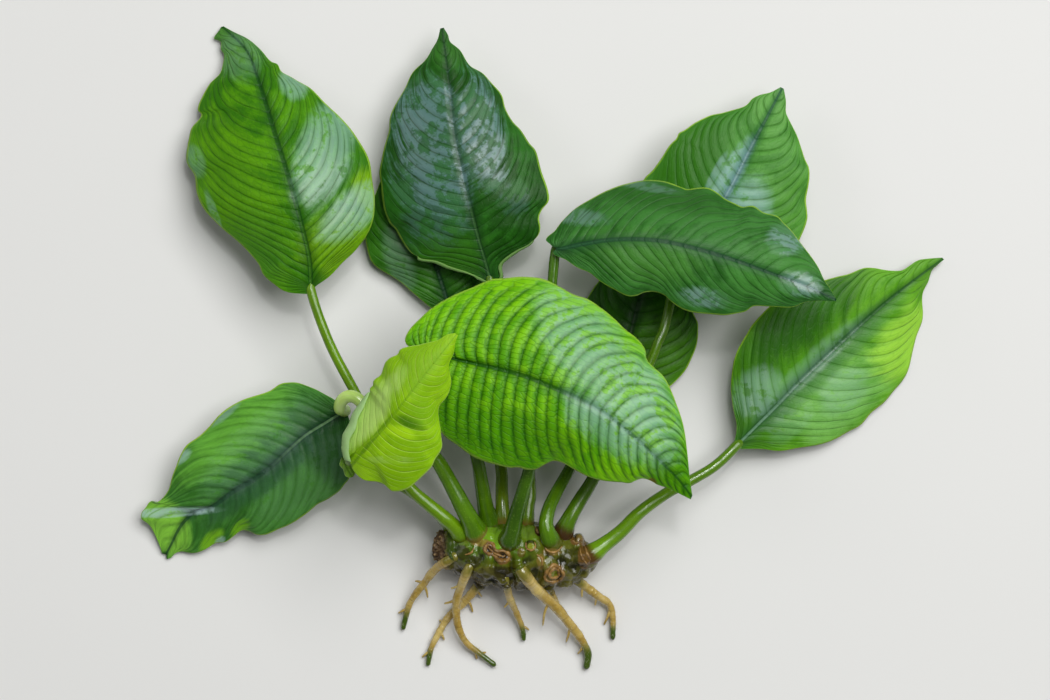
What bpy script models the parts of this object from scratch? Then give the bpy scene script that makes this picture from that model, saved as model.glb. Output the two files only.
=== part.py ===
"""An anubias water plant with bare roots, lying on its back as it looks from straight above.

The plant is one creeping rhizome, ten leaves that each have a stalk and a blade, and seven roots.
All sizes are in millimetres until a mesh is made. +X runs along the rhizome, +Y towards the leaf
tips, +Z up from the surface that the plant lies on. Plan places are given as an eye sees them from
EYE_HEIGHT above EYE_FOOT, and plan() moves each point in by its height.
"""

import math
from dataclasses import dataclass

import bmesh
import bpy
import numpy as np
from mathutils import Vector

MM = 0.001
EYE_HEIGHT = 900.0
EYE_FOOT = (-3.5, -0.2)
BOX_MIDDLE = (0.1, -0.1)
GAP = 0.3

BLADE_THICKNESS = 0.7
BLADE_ROWS = 15
BLADE_COLUMNS = 3
BLADE_BELLY = 0.07
ROW_SWEEP = 0.05
LINE_POINTS = 201

STRAND_POINTS = 12
HOOK_POINTS = 20
STRAND_RESOLUTION = 2
STALK_TIP_RADIUS = 1.05
STALK_TAPER_POWER = 3
ROOT_TIP_SHARE = 0.45
COLLAR_DEPTH = 3.2
COLLAR_FLARE = 1.25
COLLAR_RISE = 0.35
COLLAR_SLANT = 0.6
COLLAR_SIDES = 10
CURVE_STEPS = 12
FINE_POINTS = 400

RHIZOME_POINTS = 26
RHIZOME_SIDES = 16
RHIZOME_RING_COUNT = 9
RHIZOME_RING_RISE = 0.035
MERGE_DISTANCE = 1e-6
REST_CUT_SIZE = (80.0, 40.0, 10.0)
REST_CUT_PLACE = (-5.0, -45.0)

PLANT_NAME = "anubias_plant"
LEAF_GREEN = (0.075, 0.20, 0.02, 1.0)
DARK_GREEN = (0.03, 0.11, 0.025, 1.0)
YOUNG_GREEN = (0.22, 0.36, 0.02, 1.0)
STALK_GREEN = (0.14, 0.24, 0.03, 1.0)
RHIZOME_OLIVE = (0.11, 0.13, 0.03, 1.0)
ROOT_TAN = (0.30, 0.20, 0.07, 1.0)
LEAF_ROUGHNESS = 0.35
STALK_ROUGHNESS = 0.4
RHIZOME_ROUGHNESS = 0.55
ROOT_ROUGHNESS = 0.7


@dataclass(frozen=True)
class Blade:
    """One leaf blade, drawn about the straight line from its foot to its tip.

    rib, left and right are (share of the length, millimetres to the left of the line). The three
    height lists are spread evenly from foot to tip.
    """

    name: str
    foot: tuple
    heading: float
    length: float
    rib: tuple
    left: tuple
    right: tuple
    rib_height: tuple
    left_height: tuple
    right_height: tuple
    colour: tuple = LEAF_GREEN


@dataclass(frozen=True)
class Strand:
    """A stalk or a root: its route of (x, y, z) points and its radius where it leaves the rhizome.

    A stalk ends under the foot of its blade, lower by its drop.
    """

    name: str
    route: tuple
    radius: float
    blade: str = ""
    drop: float = BLADE_THICKNESS / 2
    points: int = STRAND_POINTS


@dataclass(frozen=True)
class Section:
    """One station of the rhizome: the middle of its cross-section and its radius."""

    x: float
    y: float
    z: float
    radius: float


BLADES = (
    Blade(
        "blade_top_left", foot=(-51.0, 12.8), heading=108.2, length=61.2,
        rib=((0.0, -0.4), (0.1, -2.1), (0.2, -2.8), (0.4, -3.5), (0.6, -3.7), (0.8, -3.9), (0.9, -3.3),
             (1.0, 0.0)),
        left=((-0.01, 0.3), (0.0, 2.0), (0.04, 6.2), (0.12, 8.7), (0.2, 10.0), (0.3, 13.4), (0.4, 16.2),
              (0.52, 16.1), (0.57, 16.9), (0.66, 14.6), (0.71, 11.0), (0.745, 10.7), (0.8, 7.8),
              (0.85, 3.0), (0.92, 1.8), (0.97, 2.4), (1.0, 0.3)),
        right=((0.0, -1.0), (0.025, -5.4), (0.08, -12.3), (0.18, -18.4), (0.28, -20.5), (0.37, -21.4),
               (0.5, -19.9), (0.63, -16.1), (0.7, -14.2), (0.78, -9.4), (0.83, -7.7), (0.9, -5.7),
               (0.96, -2.6), (1.0, -0.3)),
        rib_height=(14.0, 17.0, 18.0, 15.0, 10.0, 5.0, 0.7),
        left_height=(14.0, 13.0, 11.0, 8.0, 5.0, 3.0, 0.7),
        right_height=(14.0, 13.0, 12.0, 10.0, 8.0, 4.0, 0.7),
    ),
    Blade(
        "blade_top", foot=(-10.8, 14.7), heading=101.1, length=57.0,
        rib=((0.0, 0.2), (0.1, 0.7), (0.2, 1.2), (0.45, 1.7), (0.6, 1.7), (0.8, 0.7), (1.0, 0.0)),
        left=((0.0, 0.9), (0.03, 3.5), (0.09, 9.0), (0.14, 14.5), (0.21, 17.7), (0.3, 19.8), (0.4, 19.9),
              (0.5, 19.6), (0.6, 17.2), (0.7, 14.8), (0.8, 10.5), (0.85, 8.3), (0.89, 5.0), (0.95, 1.9),
              (1.0, 0.4)),
        right=((0.0, -0.6), (0.055, -2.8), (0.1, -7.0), (0.14, -12.0), (0.21, -12.9), (0.27, -15.6),
               (0.37, -15.6), (0.46, -15.2), (0.59, -11.3), (0.7, -10.0), (0.8, -7.0), (0.84, -4.5),
               (0.9, -3.0), (1.0, -0.4)),
        rib_height=(10.0, 13.0, 15.0, 15.0, 13.0, 10.0, 7.0),
        left_height=(10.0, 8.5, 8.0, 8.0, 8.0, 8.0, 7.0),
        right_height=(10.0, 12.0, 13.0, 12.0, 10.0, 8.0, 7.0),
        colour=DARK_GREEN,
    ),
    Blade(
        "blade_behind_top", foot=(-19.6, 8.6), heading=106.4, length=39.0,
        rib=((0.0, 0.3), (0.3, 0.6), (0.7, 0.5), (1.0, 0.0)),
        left=((0.0, 0.9), (0.04, 4.0), (0.15, 6.8), (0.25, 9.7), (0.36, 13.4), (0.46, 14.1), (0.58, 13.3),
              (0.72, 10.0), (0.84, 6.0), (1.0, 0.4)),
        right=((0.0, -0.4), (0.03, -4.0), (0.1, -9.2), (0.25, -13.0), (0.4, -13.6), (0.6, -11.5),
               (0.8, -6.5), (1.0, -0.4)),
        rib_height=(3.0, 3.5, 4.0, 4.0, 3.5, 2.5, 1.2),
        left_height=(3.0, 3.0, 3.0, 3.0, 2.5, 2.0, 1.2),
        right_height=(3.0, 2.0, 1.5, 1.0, 0.7, 0.7, 1.0),
        colour=DARK_GREEN,
    ),
    Blade(
        "blade_top_right", foot=(27.9, 11.4), heading=61.2, length=52.5,
        rib=((0.04, -0.2), (0.5, -0.5), (0.7, -0.2), (1.0, 0.1)),
        left=((0.04, 0.5), (0.05, 5.0), (0.12, 12.0), (0.22, 16.0), (0.37, 17.3), (0.5, 15.9), (0.63, 15.1),
              (0.7, 13.2), (0.78, 9.3), (0.86, 5.3), (0.92, 4.2), (1.0, 0.5)),
        right=((0.04, -1.0), (0.05, -5.0), (0.12, -12.5), (0.25, -17.3), (0.43, -19.3), (0.55, -19.0),
               (0.64, -16.4), (0.73, -14.8), (0.82, -9.6), (0.9, -4.3), (1.0, -0.3)),
        rib_height=(10.0, 11.5, 13.0, 13.0, 12.0, 11.0, 10.0),
        left_height=(10.0, 9.0, 10.0, 12.0, 12.0, 11.0, 10.0),
        right_height=(10.0, 9.0, 10.0, 11.0, 11.0, 10.5, 10.0),
    ),
    Blade(
        "blade_upper_right", foot=(3.3, 21.8), heading=-10.1, length=62.6,
        rib=((0.0, 0.3), (0.085, 2.3), (0.2, 4.6), (0.36, 6.1), (0.55, 5.4), (0.73, 3.6), (0.9, 1.6),
             (1.0, 0.0)),
        left=((-0.02, 0.9), (-0.04, 2.0), (0.0, 6.6), (0.09, 12.4), (0.2, 16.8), (0.3, 18.7), (0.42, 18.3),
              (0.49, 19.5), (0.6, 17.0), (0.66, 17.1), (0.745, 16.1), (0.84, 11.3), (0.92, 6.4),
              (0.97, 2.3), (1.0, 0.3)),
        right=((-0.01, -0.5), (0.04, -1.7), (0.13, -3.6), (0.2, -5.9), (0.27, -7.2), (0.37, -5.4),
               (0.45, -7.3), (0.55, -8.2), (0.66, -6.9), (0.72, -4.5), (0.85, -3.2), (0.92, -1.2),
               (1.0, -0.3)),
        rib_height=(26.0, 28.5, 30.0, 30.0, 29.0, 27.0, 25.0),
        left_height=(26.0, 22.0, 21.0, 22.0, 23.0, 24.0, 25.0),
        right_height=(26.0, 27.5, 27.0, 26.0, 26.0, 25.5, 25.0),
        colour=DARK_GREEN,
    ),
    Blade(
        "blade_behind_right", foot=(15.6, -10.1), heading=77.5, length=40.6,
        rib=((0.0, 0.0), (0.2, -0.8), (0.56, -1.4), (0.8, -0.8), (1.0, 0.0)),
        left=((0.0, 0.7), (0.03, 4.0), (0.1, 8.0), (0.25, 11.3), (0.4, 10.9), (0.54, 8.9), (0.7, 6.0),
              (0.85, 3.0), (1.0, 0.4)),
        right=((0.0, -0.7), (0.02, -5.0), (0.08, -10.0), (0.15, -13.0), (0.25, -15.0), (0.37, -16.0),
               (0.47, -15.3), (0.53, -13.6), (0.7, -9.8), (0.85, -5.0), (1.0, -0.4)),
        rib_height=(3.0, 3.5, 4.0, 4.0, 3.5, 2.5, 1.2),
        left_height=(3.0, 2.0, 1.5, 1.0, 0.7, 0.7, 1.0),
        right_height=(3.0, 2.5, 2.0, 2.0, 2.0, 1.5, 1.2),
        colour=DARK_GREEN,
    ),
    Blade(
        "blade_right", foot=(43.1, -21.6), heading=43.1, length=61.2,
        rib=((0.0, 0.3), (0.2, 0.6), (0.35, 1.1), (0.6, 1.1), (0.8, 0.6), (1.005, -0.7)),
        left=((0.0, 0.9), (0.05, 3.3), (0.1, 8.2), (0.17, 12.8), (0.25, 15.7), (0.35, 17.4), (0.44, 17.7),
              (0.57, 15.6), (0.68, 12.4), (0.77, 9.8), (0.83, 5.9), (0.88, 3.4), (0.93, 2.9),
              (1.005, -0.4)),
        right=((0.0, -0.5), (0.06, -4.0), (0.1, -7.0), (0.2, -11.0), (0.29, -13.8), (0.38, -15.0),
               (0.5, -14.7), (0.6, -14.1), (0.7, -11.2), (0.79, -8.0), (0.84, -4.6), (0.91, -2.2),
               (1.005, -1.0)),
        rib_height=(8.0, 7.5, 7.0, 6.0, 5.0, 3.5, 2.0),
        left_height=(8.0, 8.0, 9.0, 9.0, 7.0, 4.5, 2.0),
        right_height=(8.0, 5.0, 2.5, 1.0, 0.7, 0.9, 2.0),
    ),
    Blade(
        "blade_lower_left", foot=(-42.7, -14.1), heading=-141.2, length=50.5,
        rib=((0.0, -0.7), (0.2, -1.9), (0.4, -1.3), (0.6, -2.2), (0.78, -4.0), (0.9, -3.0), (1.0, -0.7)),
        left=((0.0, 0.3), (0.03, 4.0), (0.1, 9.0), (0.17, 11.5), (0.25, 12.6), (0.35, 11.8), (0.5, 11.1),
              (0.6, 9.6), (0.65, 6.7), (0.7, 5.4), (0.77, 5.3), (0.86, 3.6), (0.94, 0.9), (1.01, 0.2)),
        right=((0.0, -1.8), (0.02, -6.0), (0.08, -12.0), (0.15, -14.1), (0.26, -15.4), (0.4, -17.2),
               (0.55, -16.5), (0.64, -16.5), (0.75, -13.8), (0.84, -11.1), (0.9, -12.2), (0.96, -12.3),
               (1.0, -10.4), (0.985, -5.0), (1.01, -1.4)),
        rib_height=(12.0, 11.5, 11.0, 9.0, 7.0, 4.0, 0.8),
        left_height=(12.0, 10.0, 8.0, 6.0, 4.0, 2.0, 0.8),
        right_height=(12.0, 10.0, 9.0, 8.0, 7.0, 4.0, 0.8),
        colour=DARK_GREEN,
    ),
    Blade(
        "blade_young", foot=(-41.6, -25.1), heading=50.9, length=36.6,
        rib=((0.0, 0.8), (0.1, 0.7), (0.25, -0.4), (0.5, -0.3), (0.8, -0.1), (1.0, 0.0)),
        left=((-0.01, 1.6), (0.05, 3.8), (0.15, 5.4), (0.3, 6.4), (0.39, 6.9), (0.52, 7.4), (0.6, 8.3),
              (0.71, 7.5), (0.82, 4.6), (0.9, 2.4), (1.0, 0.4)),
        right=((-0.01, 0.0), (-0.035, -2.4), (-0.02, -5.5), (0.02, -8.4), (0.02, -10.8), (0.08, -13.4),
               (0.28, -14.0), (0.4, -13.0), (0.5, -10.1), (0.59, -7.2), (0.7, -6.6), (0.8, -4.2),
               (0.9, -2.2), (1.0, -0.4)),
        rib_height=(33.0, 37.0, 40.0, 42.0, 42.0, 41.0, 39.0),
        left_height=(33.0, 34.0, 35.0, 37.0, 39.0, 40.0, 39.0),
        right_height=(33.0, 35.0, 36.0, 37.0, 38.0, 39.0, 39.0),
        colour=YOUNG_GREEN,
    ),
    Blade(
        "blade_front", foot=(-22.9, -5.9), heading=-25.4, length=62.1,
        rib=((-0.03, 4.4), (0.05, 5.3), (0.2, 7.4), (0.35, 8.6), (0.5, 8.8), (0.63, 8.0), (0.78, 5.4),
             (0.9, 2.9), (1.0, 0.0)),
        left=((-0.04, 5.0), (-0.1, 3.6), (-0.15, 4.4), (-0.14, 9.8), (-0.075, 17.0), (0.02, 24.3),
              (0.125, 27.8), (0.25, 29.4), (0.36, 29.7), (0.48, 28.3), (0.59, 26.2), (0.66, 23.6),
              (0.72, 21.6), (0.8, 17.2), (0.88, 11.7), (0.95, 5.4), (1.0, 0.3)),
        right=((-0.035, 3.4), (-0.07, 0.5), (-0.07, -4.5), (0.0, -8.8), (0.1, -10.9), (0.22, -12.4),
               (0.35, -11.7), (0.45, -9.8), (0.51, -5.7), (0.62, -5.7), (0.75, -3.6), (0.83, -0.9),
               (1.0, -0.6)),
        rib_height=(29.0, 31.0, 33.0, 34.0, 33.0, 30.0, 26.0),
        left_height=(29.0, 27.0, 26.0, 27.0, 28.0, 28.0, 26.0),
        right_height=(29.0, 27.0, 27.0, 28.0, 28.0, 27.0, 26.0),
    ),
)

STALKS = (
    Strand("stalk_top_left", radius=1.7, blade="blade_top_left", route=(
        (-17.8, -41.4, 11.6), (-21.1, -37.6, 13.2), (-24.6, -34.3, 13.8), (-28.8, -30.5, 14.0),
        (-32.6, -24.5, 13.4), (-37.1, -16.8, 13.0), (-41.1, -9.1, 13.0), (-45.8, -0.3, 13.4),
        (-48.9, 7.4, 13.8))),
    Strand("stalk_lower_left", radius=1.7, blade="blade_lower_left", drop=-1.5, points=HOOK_POINTS, route=(
        (-14.7, -39.8, 11.0), (-17.2, -35.0, 13.6), (-20.0, -29.5, 15.2), (-22.9, -24.4, 16.5),
        (-26.6, -18.9, 18.5), (-32.1, -14.1, 20.0), (-36.5, -12.1, 21.0), (-39.4, -11.2, 21.0),
        (-41.4, -9.6, 20.4), (-43.6, -10.0, 18.4), (-44.0, -11.8, 16.0))),
    Strand("stalk_front", radius=2.0, blade="blade_front", drop=2.4, route=(
        (-11.4, -37.6, 8.0), (-12.3, -34.3, 10.0), (-13.2, -28.8, 13.5), (-14.1, -24.0, 17.0),
        (-16.7, -15.6, 22.0), (-20.0, -6.8, 26.0))),
    Strand("stalk_behind_top", radius=1.5, blade="blade_behind_top", route=(
        (-8.1, -36.7, 5.6), (-8.6, -31.0, 6.2), (-8.8, -26.0, 6.2), (-10.8, -15.6, 5.4), (-13.9, -4.6, 4.4),
        (-17.4, 4.2, 3.6))),
    Strand("stalk_upper_right", radius=2.2, blade="blade_upper_right", drop=2.2, route=(
        (-6.6, -42.0, 14.2), (-5.5, -36.5, 17.0), (-4.0, -31.5, 20.0), (-2.6, -26.6, 21.5),
        (-0.2, -15.6, 22.8), (1.6, -2.4, 23.0), (2.2, 8.6, 23.0), (2.5, 14.5, 23.4))),
    Strand("stalk_top", radius=1.5, blade="blade_top", route=(
        (-3.3, -37.4, 4.8), (-2.4, -31.0, 6.8), (-3.3, -20.0, 8.8), (-5.7, -6.8, 9.6), (-8.6, 4.2, 10.0))),
    Strand("stalk_behind_right", radius=1.8, blade="blade_behind_right", route=(
        (2.4, -42.8, 13.0), (1.5, -39.8, 13.6), (2.2, -35.9, 12.8), (4.2, -31.0, 11.2), (6.4, -26.2, 9.2),
        (9.7, -20.0, 6.6), (13.0, -14.5, 4.4))),
    Strand("stalk_top_right", radius=1.6, blade="blade_top_right", route=(
        (4.9, -40.2, 9.2), (6.4, -37.0, 9.6), (8.6, -33.2, 10.0), (11.7, -28.2, 10.5), (17.4, -17.8, 11.0),
        (21.8, -7.9, 11.0), (24.2, -2.4, 11.0), (25.5, 0.9, 11.0), (27.3, 5.3, 10.5))),
    Strand("stalk_right", radius=1.8, blade="blade_right", route=(
        (10.6, -45.4, 9.6), (13.0, -43.8, 9.9), (17.4, -40.3, 10.0), (21.8, -35.9, 10.0),
        (27.3, -31.9, 9.5), (32.8, -29.0, 9.0), (38.3, -25.7, 8.4))),
    Strand("stalk_young", radius=1.4, blade="blade_young", drop=2.0, route=(
        (-18.9, -40.2, 6.4), (-21.5, -37.2, 7.4), (-24.9, -34.1, 8.4), (-28.5, -31.4, 9.2),
        (-31.8, -29.6, 10.8), (-34.8, -28.5, 15.8), (-37.8, -27.3, 22.6), (-40.4, -26.1, 29.2))),
)

ROOTS = (
    Strand("root_far_left", radius=1.2, route=(
        (-19.4, -46.8, 6.2), (-23.1, -48.4, 4.4), (-25.7, -51.5, 2.8), (-28.2, -54.8, 1.8),
        (-29.3, -57.2, 1.3), (-30.4, -61.8, 0.8))),
    Strand("root_left", radius=1.2, route=(
        (-16.3, -48.6, 9.0), (-17.2, -51.2, 7.6), (-18.5, -54.1, 6.0), (-18.5, -58.3, 4.6),
        (-18.0, -61.6, 3.4), (-16.3, -64.7, 2.2), (-13.6, -66.9, 1.3), (-9.9, -69.7, 0.8))),
    Strand("root_under_left", radius=1.2, route=(
        (-13.4, -51.4, 3.4), (-15.0, -53.5, 2.0), (-17.4, -56.1, 1.3), (-20.5, -59.2, 1.2),
        (-22.4, -62.3, 1.1), (-24.2, -66.0, 0.9), (-24.9, -69.7, 0.7))),
    Strand("root_middle", radius=1.2, route=(
        (-7.9, -51.9, 4.6), (-7.0, -54.6, 3.2), (-5.5, -57.8, 2.0), (-4.2, -61.0, 1.3),
        (-3.7, -64.2, 0.8))),
    Strand("root_thick", radius=1.5, route=(
        (-4.2, -50.3, 10.2), (-2.4, -52.2, 8.8), (0.6, -54.4, 7.2), (3.7, -57.2, 5.6), (6.2, -60.3, 4.0),
        (8.6, -63.4, 2.6), (10.3, -67.0, 1.5), (9.9, -71.1, 0.9))),
    Strand("root_thin", radius=0.8, route=(
        (1.8, -52.2, 3.2), (2.6, -53.8, 2.0), (3.6, -55.8, 1.0), (4.2, -57.4, 0.7))),
    Strand("root_right", radius=1.2, route=(
        (7.6, -50.6, 6.0), (10.3, -52.6, 4.2), (13.0, -54.6, 2.9), (15.0, -56.1, 2.0), (15.8, -59.0, 1.3),
        (15.8, -64.0, 0.8))),
)

RHIZOME = (
    Section(-23.4, -42.8, 5.4, 2.7),
    Section(-20.2, -43.6, 5.8, 4.5),
    Section(-14.1, -44.5, 6.4, 6.1),
    Section(-9.0, -45.1, 6.9, 7.2),
    Section(-2.4, -45.3, 6.9, 7.2),
    Section(4.2, -46.0, 6.5, 6.3),
    Section(9.7, -46.0, 6.3, 3.9),
    Section(12.4, -46.0, 6.3, 1.7),
)


def plan(point):
    """The real place of a point whose plan place is as seen from above, about the box's middle."""
    x, y, z = point
    nearer = 1.0 - z / EYE_HEIGHT
    eye_x, eye_y = EYE_FOOT
    real_x = eye_x + (x - eye_x) * nearer - BOX_MIDDLE[0]
    real_y = eye_y + (y - eye_y) * nearer - BOX_MIDDLE[1]
    return Vector((real_x, real_y, z))


def smooth(points, count):
    """Points spread evenly along a smooth curve through the given ones."""
    given = np.array([tuple(p) for p in points], float)
    padded = np.vstack([2 * given[0] - given[1], given, 2 * given[-1] - given[-2]])
    fine = []
    steps = np.linspace(0.0, 1.0, CURVE_STEPS, endpoint=False)[:, None]
    for before, here, there, after in zip(padded, padded[1:], padded[2:], padded[3:]):
        slope_here = (there - before) / 2
        slope_there = (after - here) / 2
        a = 2 * (here - there) + slope_here + slope_there
        b = 3 * (there - here) - 2 * slope_here - slope_there
        fine.append(((a * steps + b) * steps + slope_here) * steps + here)
    curve = np.vstack(fine + [given[-1:]])
    travelled = np.concatenate([[0.0], np.cumsum(np.linalg.norm(np.diff(curve, axis=0), axis=1))])
    stations = np.linspace(0.0, travelled[-1], count)
    return np.column_stack([np.interp(stations, travelled, column) for column in curve.T])


def blended(values, share):
    """A value between evenly spread ones, eased from each to the next."""
    place = share * (len(values) - 1)
    low = min(int(place), len(values) - 2)
    part = place - low
    return values[low] + (values[low + 1] - values[low]) * part * part * (3 - 2 * part)


def blade_line(blade, line, heights, shares):
    """A rib or a margin as real points, one for each share of its own length."""
    turn = math.radians(blade.heading)
    along = np.array([math.cos(turn), math.sin(turn)]) * blade.length
    across = np.array([-math.sin(turn), math.cos(turn)])
    flat = [np.array(blade.foot) + along * share + across * offset for share, offset in line]
    curve = smooth(flat, LINE_POINTS)
    points = []
    for share in shares:
        place = share * (LINE_POINTS - 1)
        x = np.interp(place, range(LINE_POINTS), curve[:, 0])
        y = np.interp(place, range(LINE_POINTS), curve[:, 1])
        points.append(plan((x, y, blended(heights, share))))
    return points


def blade_rows(blade):
    """Rows of points across the blade, from its right margin over the rib to its left margin."""
    shares = [row / BLADE_ROWS for row in range(BLADE_ROWS + 1)]
    rib_shares = [share - ROW_SWEEP * math.sin(math.pi * share) for share in shares]
    rib = blade_line(blade, blade.rib, blade.rib_height, rib_shares)
    left = blade_line(blade, blade.left, blade.left_height, shares)
    right = blade_line(blade, blade.right, blade.right_height, shares)
    rows = []
    for middle, port, starboard in zip(rib, left, right):
        row = []
        for step in range(-BLADE_COLUMNS, BLADE_COLUMNS + 1):
            share = abs(step) / BLADE_COLUMNS
            margin = port if step > 0 else starboard
            belly = 4 * share * (1 - share) * BLADE_BELLY * (margin - middle).length
            row.append(middle.lerp(margin, share) + Vector((0, 0, belly)))
        rows.append(row)
    return rows


def material(name, colour, roughness):
    """A plain Principled material."""
    made = bpy.data.materials.new(name)
    made.use_nodes = True
    shader = made.node_tree.nodes["Principled BSDF"]
    shader.inputs["Base Color"].default_value = colour
    shader.inputs["Roughness"].default_value = roughness
    shader.inputs["Metallic"].default_value = 0.0
    made.diffuse_color = colour
    return made


def add_object(name, data, collection, colour, roughness):
    """Link a mesh or a curve to the plant under its own name and material."""
    made = bpy.data.objects.new(name, data)
    collection.objects.link(made)
    data.materials.append(material(name, colour, roughness))
    return made


def make_blade(blade, collection):
    """An open sheet of quads through the blade's rows, thickened downwards."""
    bm = bmesh.new()
    grid = [[bm.verts.new(point * MM) for point in row] for row in blade_rows(blade)]
    for lower, upper in zip(grid, grid[1:]):
        for a, b, c, d in zip(lower, upper, upper[1:], lower[1:]):
            bm.faces.new((a, b, c, d))
    bmesh.ops.recalc_face_normals(bm, faces=bm.faces)
    if sum(face.normal.z * face.calc_area() for face in bm.faces) < 0:
        bmesh.ops.reverse_faces(bm, faces=bm.faces)
    mesh = bpy.data.meshes.new(blade.name)
    bm.to_mesh(mesh)
    bm.free()
    mesh.shade_smooth()
    made = add_object(blade.name, mesh, collection, blade.colour, LEAF_ROUGHNESS)
    wall = made.modifiers.new("thickness", "SOLIDIFY")
    wall.thickness = BLADE_THICKNESS * MM
    wall.offset = -1.0
    return made


def rhizome_stations():
    """The rhizome's real middle points and radii, spread evenly along it."""
    stations = smooth([(part.x, part.y, part.z, part.radius) for part in RHIZOME], RHIZOME_POINTS)
    return [(plan(station[:3]), station[3]) for station in stations]


def outside(strand, route):
    """The smooth route from where its end face would stand clear of the rhizome."""
    fine = [Vector(point) for point in smooth(route, FINE_POINTS)]
    stations = rhizome_stations()
    needed = COLLAR_RISE + strand.radius * COLLAR_SLANT
    for first, point in enumerate(fine):
        if min((point - middle).length - radius for middle, radius in stations) > needed:
            return fine[first:]
    return fine


def trimmed(fine, start_gap, end_gap, count):
    """Points along a fine route with a little left off at each end."""
    step = (fine[1] - fine[0]).length
    first = round(start_gap / step)
    last = len(fine) - 1 - round(end_gap / step)
    return [fine[pick] for pick in np.linspace(first, last, count).round().astype(int)]


def tube_curve(name, points, radii, resolution):
    """A round curve through the points, with filled caps."""
    curve = bpy.data.curves.new(name, "CURVE")
    curve.dimensions = "3D"
    curve.bevel_depth = MM
    curve.bevel_resolution = resolution
    curve.use_fill_caps = True
    spline = curve.splines.new("POLY")
    spline.points.add(len(points) - 1)
    for knot, point, radius in zip(spline.points, points, radii):
        knot.co = (*(point * MM), 1.0)
        knot.radius = radius
    return curve


def strand_radius(strand, share):
    """Stalks thin quickly to an even top, roots evenly to their tip."""
    if strand.blade:
        return STALK_TIP_RADIUS + (strand.radius - STALK_TIP_RADIUS) * (1 - share) ** STALK_TAPER_POWER
    return strand.radius * (1 - (1 - ROOT_TIP_SHARE) * share)


def strand_points(strand, blades):
    """The middle points of a stalk or a root, from clear of the rhizome to its end."""
    route = [plan(point) for point in strand.route]
    if not strand.blade:
        return trimmed(outside(strand, route), GAP, 0.0, strand.points)
    blade = blades[strand.blade]
    foot = blade_line(blade, blade.rib, blade.rib_height, [0.0])[0] - Vector((0, 0, strand.drop))
    return trimmed(outside(strand, route + [foot]), GAP, 2 * GAP, strand.points)


def make_strand(strand, blades, collection, colour, roughness):
    """A stalk up to the foot of its blade, or a root out to its tip."""
    points = strand_points(strand, blades)
    radii = [strand_radius(strand, i / (strand.points - 1)) for i in range(strand.points)]
    curve = tube_curve(strand.name, points, radii, STRAND_RESOLUTION)
    return add_object(strand.name, curve, collection, colour, roughness)


def as_mesh(curve_object, collection):
    """Turn a curve into a closed mesh object in the given collection."""
    evaluated = curve_object.evaluated_get(bpy.context.evaluated_depsgraph_get())
    mesh = bpy.data.meshes.new_from_object(evaluated)
    bm = bmesh.new()
    bm.from_mesh(mesh)
    bmesh.ops.remove_doubles(bm, verts=bm.verts, dist=MERGE_DISTANCE)
    bmesh.ops.recalc_face_normals(bm, faces=bm.faces)
    bm.to_mesh(mesh)
    bm.free()
    name = curve_object.name
    place = curve_object.matrix_world.copy()
    bpy.data.objects.remove(curve_object)
    made = bpy.data.objects.new(name, mesh)
    made.matrix_world = place
    collection.objects.link(made)
    return made


def as_cutter(tool, cutters):
    """Move an object to the cutters and keep it out of the picture."""
    for owner in list(tool.users_collection):
        owner.objects.unlink(tool)
    cutters.objects.link(tool)
    tool.hide_render = True
    tool.display_type = "WIRE"


def make_collar(strand, blades, cutters):
    """A short cone from inside the rhizome out to just below the strand's end face."""
    start, beyond = strand_points(strand, blades)[:2]
    outward = (beyond - start).normalized()
    middle = start - outward * (GAP + COLLAR_DEPTH / 2)
    bpy.ops.mesh.primitive_cone_add(
        vertices=COLLAR_SIDES, radius1=strand.radius * COLLAR_FLARE * MM, radius2=strand.radius * MM,
        depth=COLLAR_DEPTH * MM, location=middle * MM, rotation=outward.to_track_quat("Z", "Y").to_euler())
    collar = bpy.context.active_object
    collar.name = "collar_of_" + strand.name
    as_cutter(collar, cutters)
    return collar


def make_rhizome(blades, collection, cutters):
    """The creeping stem: a fat tube with growth rings, joined with a collar for every stalk and root."""
    stations = rhizome_stations()
    radii = []
    for number, (_, radius) in enumerate(stations):
        share = number / (RHIZOME_POINTS - 1)
        ring = math.cos(2 * math.pi * RHIZOME_RING_COUNT * share)
        radii.append(radius * (1 + RHIZOME_RING_RISE * ring))
    curve = tube_curve("rhizome", [middle for middle, _ in stations], radii, RHIZOME_SIDES // 2 - 2)
    tube = bpy.data.objects.new("rhizome", curve)
    collection.objects.link(tube)
    bpy.context.view_layer.update()
    rhizome = as_mesh(tube, collection)
    rhizome.data.materials.append(material("rhizome", RHIZOME_OLIVE, RHIZOME_ROUGHNESS))
    for strand in STALKS + ROOTS:
        join = rhizome.modifiers.new(strand.name, "BOOLEAN")
        join.operation = "UNION"
        join.solver = "EXACT"
        join.object = make_collar(strand, blades, cutters)
    half_depth = REST_CUT_SIZE[2] / 2
    bpy.ops.mesh.primitive_cube_add(size=MM, location=Vector((*REST_CUT_PLACE, -half_depth)) * MM)
    block = bpy.context.active_object
    block.name = "rest_cut"
    block.scale = REST_CUT_SIZE
    bpy.ops.object.transform_apply(location=False, rotation=False, scale=True)
    as_cutter(block, cutters)
    cut = rhizome.modifiers.new("rest", "BOOLEAN")
    cut.operation = "DIFFERENCE"
    cut.solver = "EXACT"
    cut.object = block
    return rhizome


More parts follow.
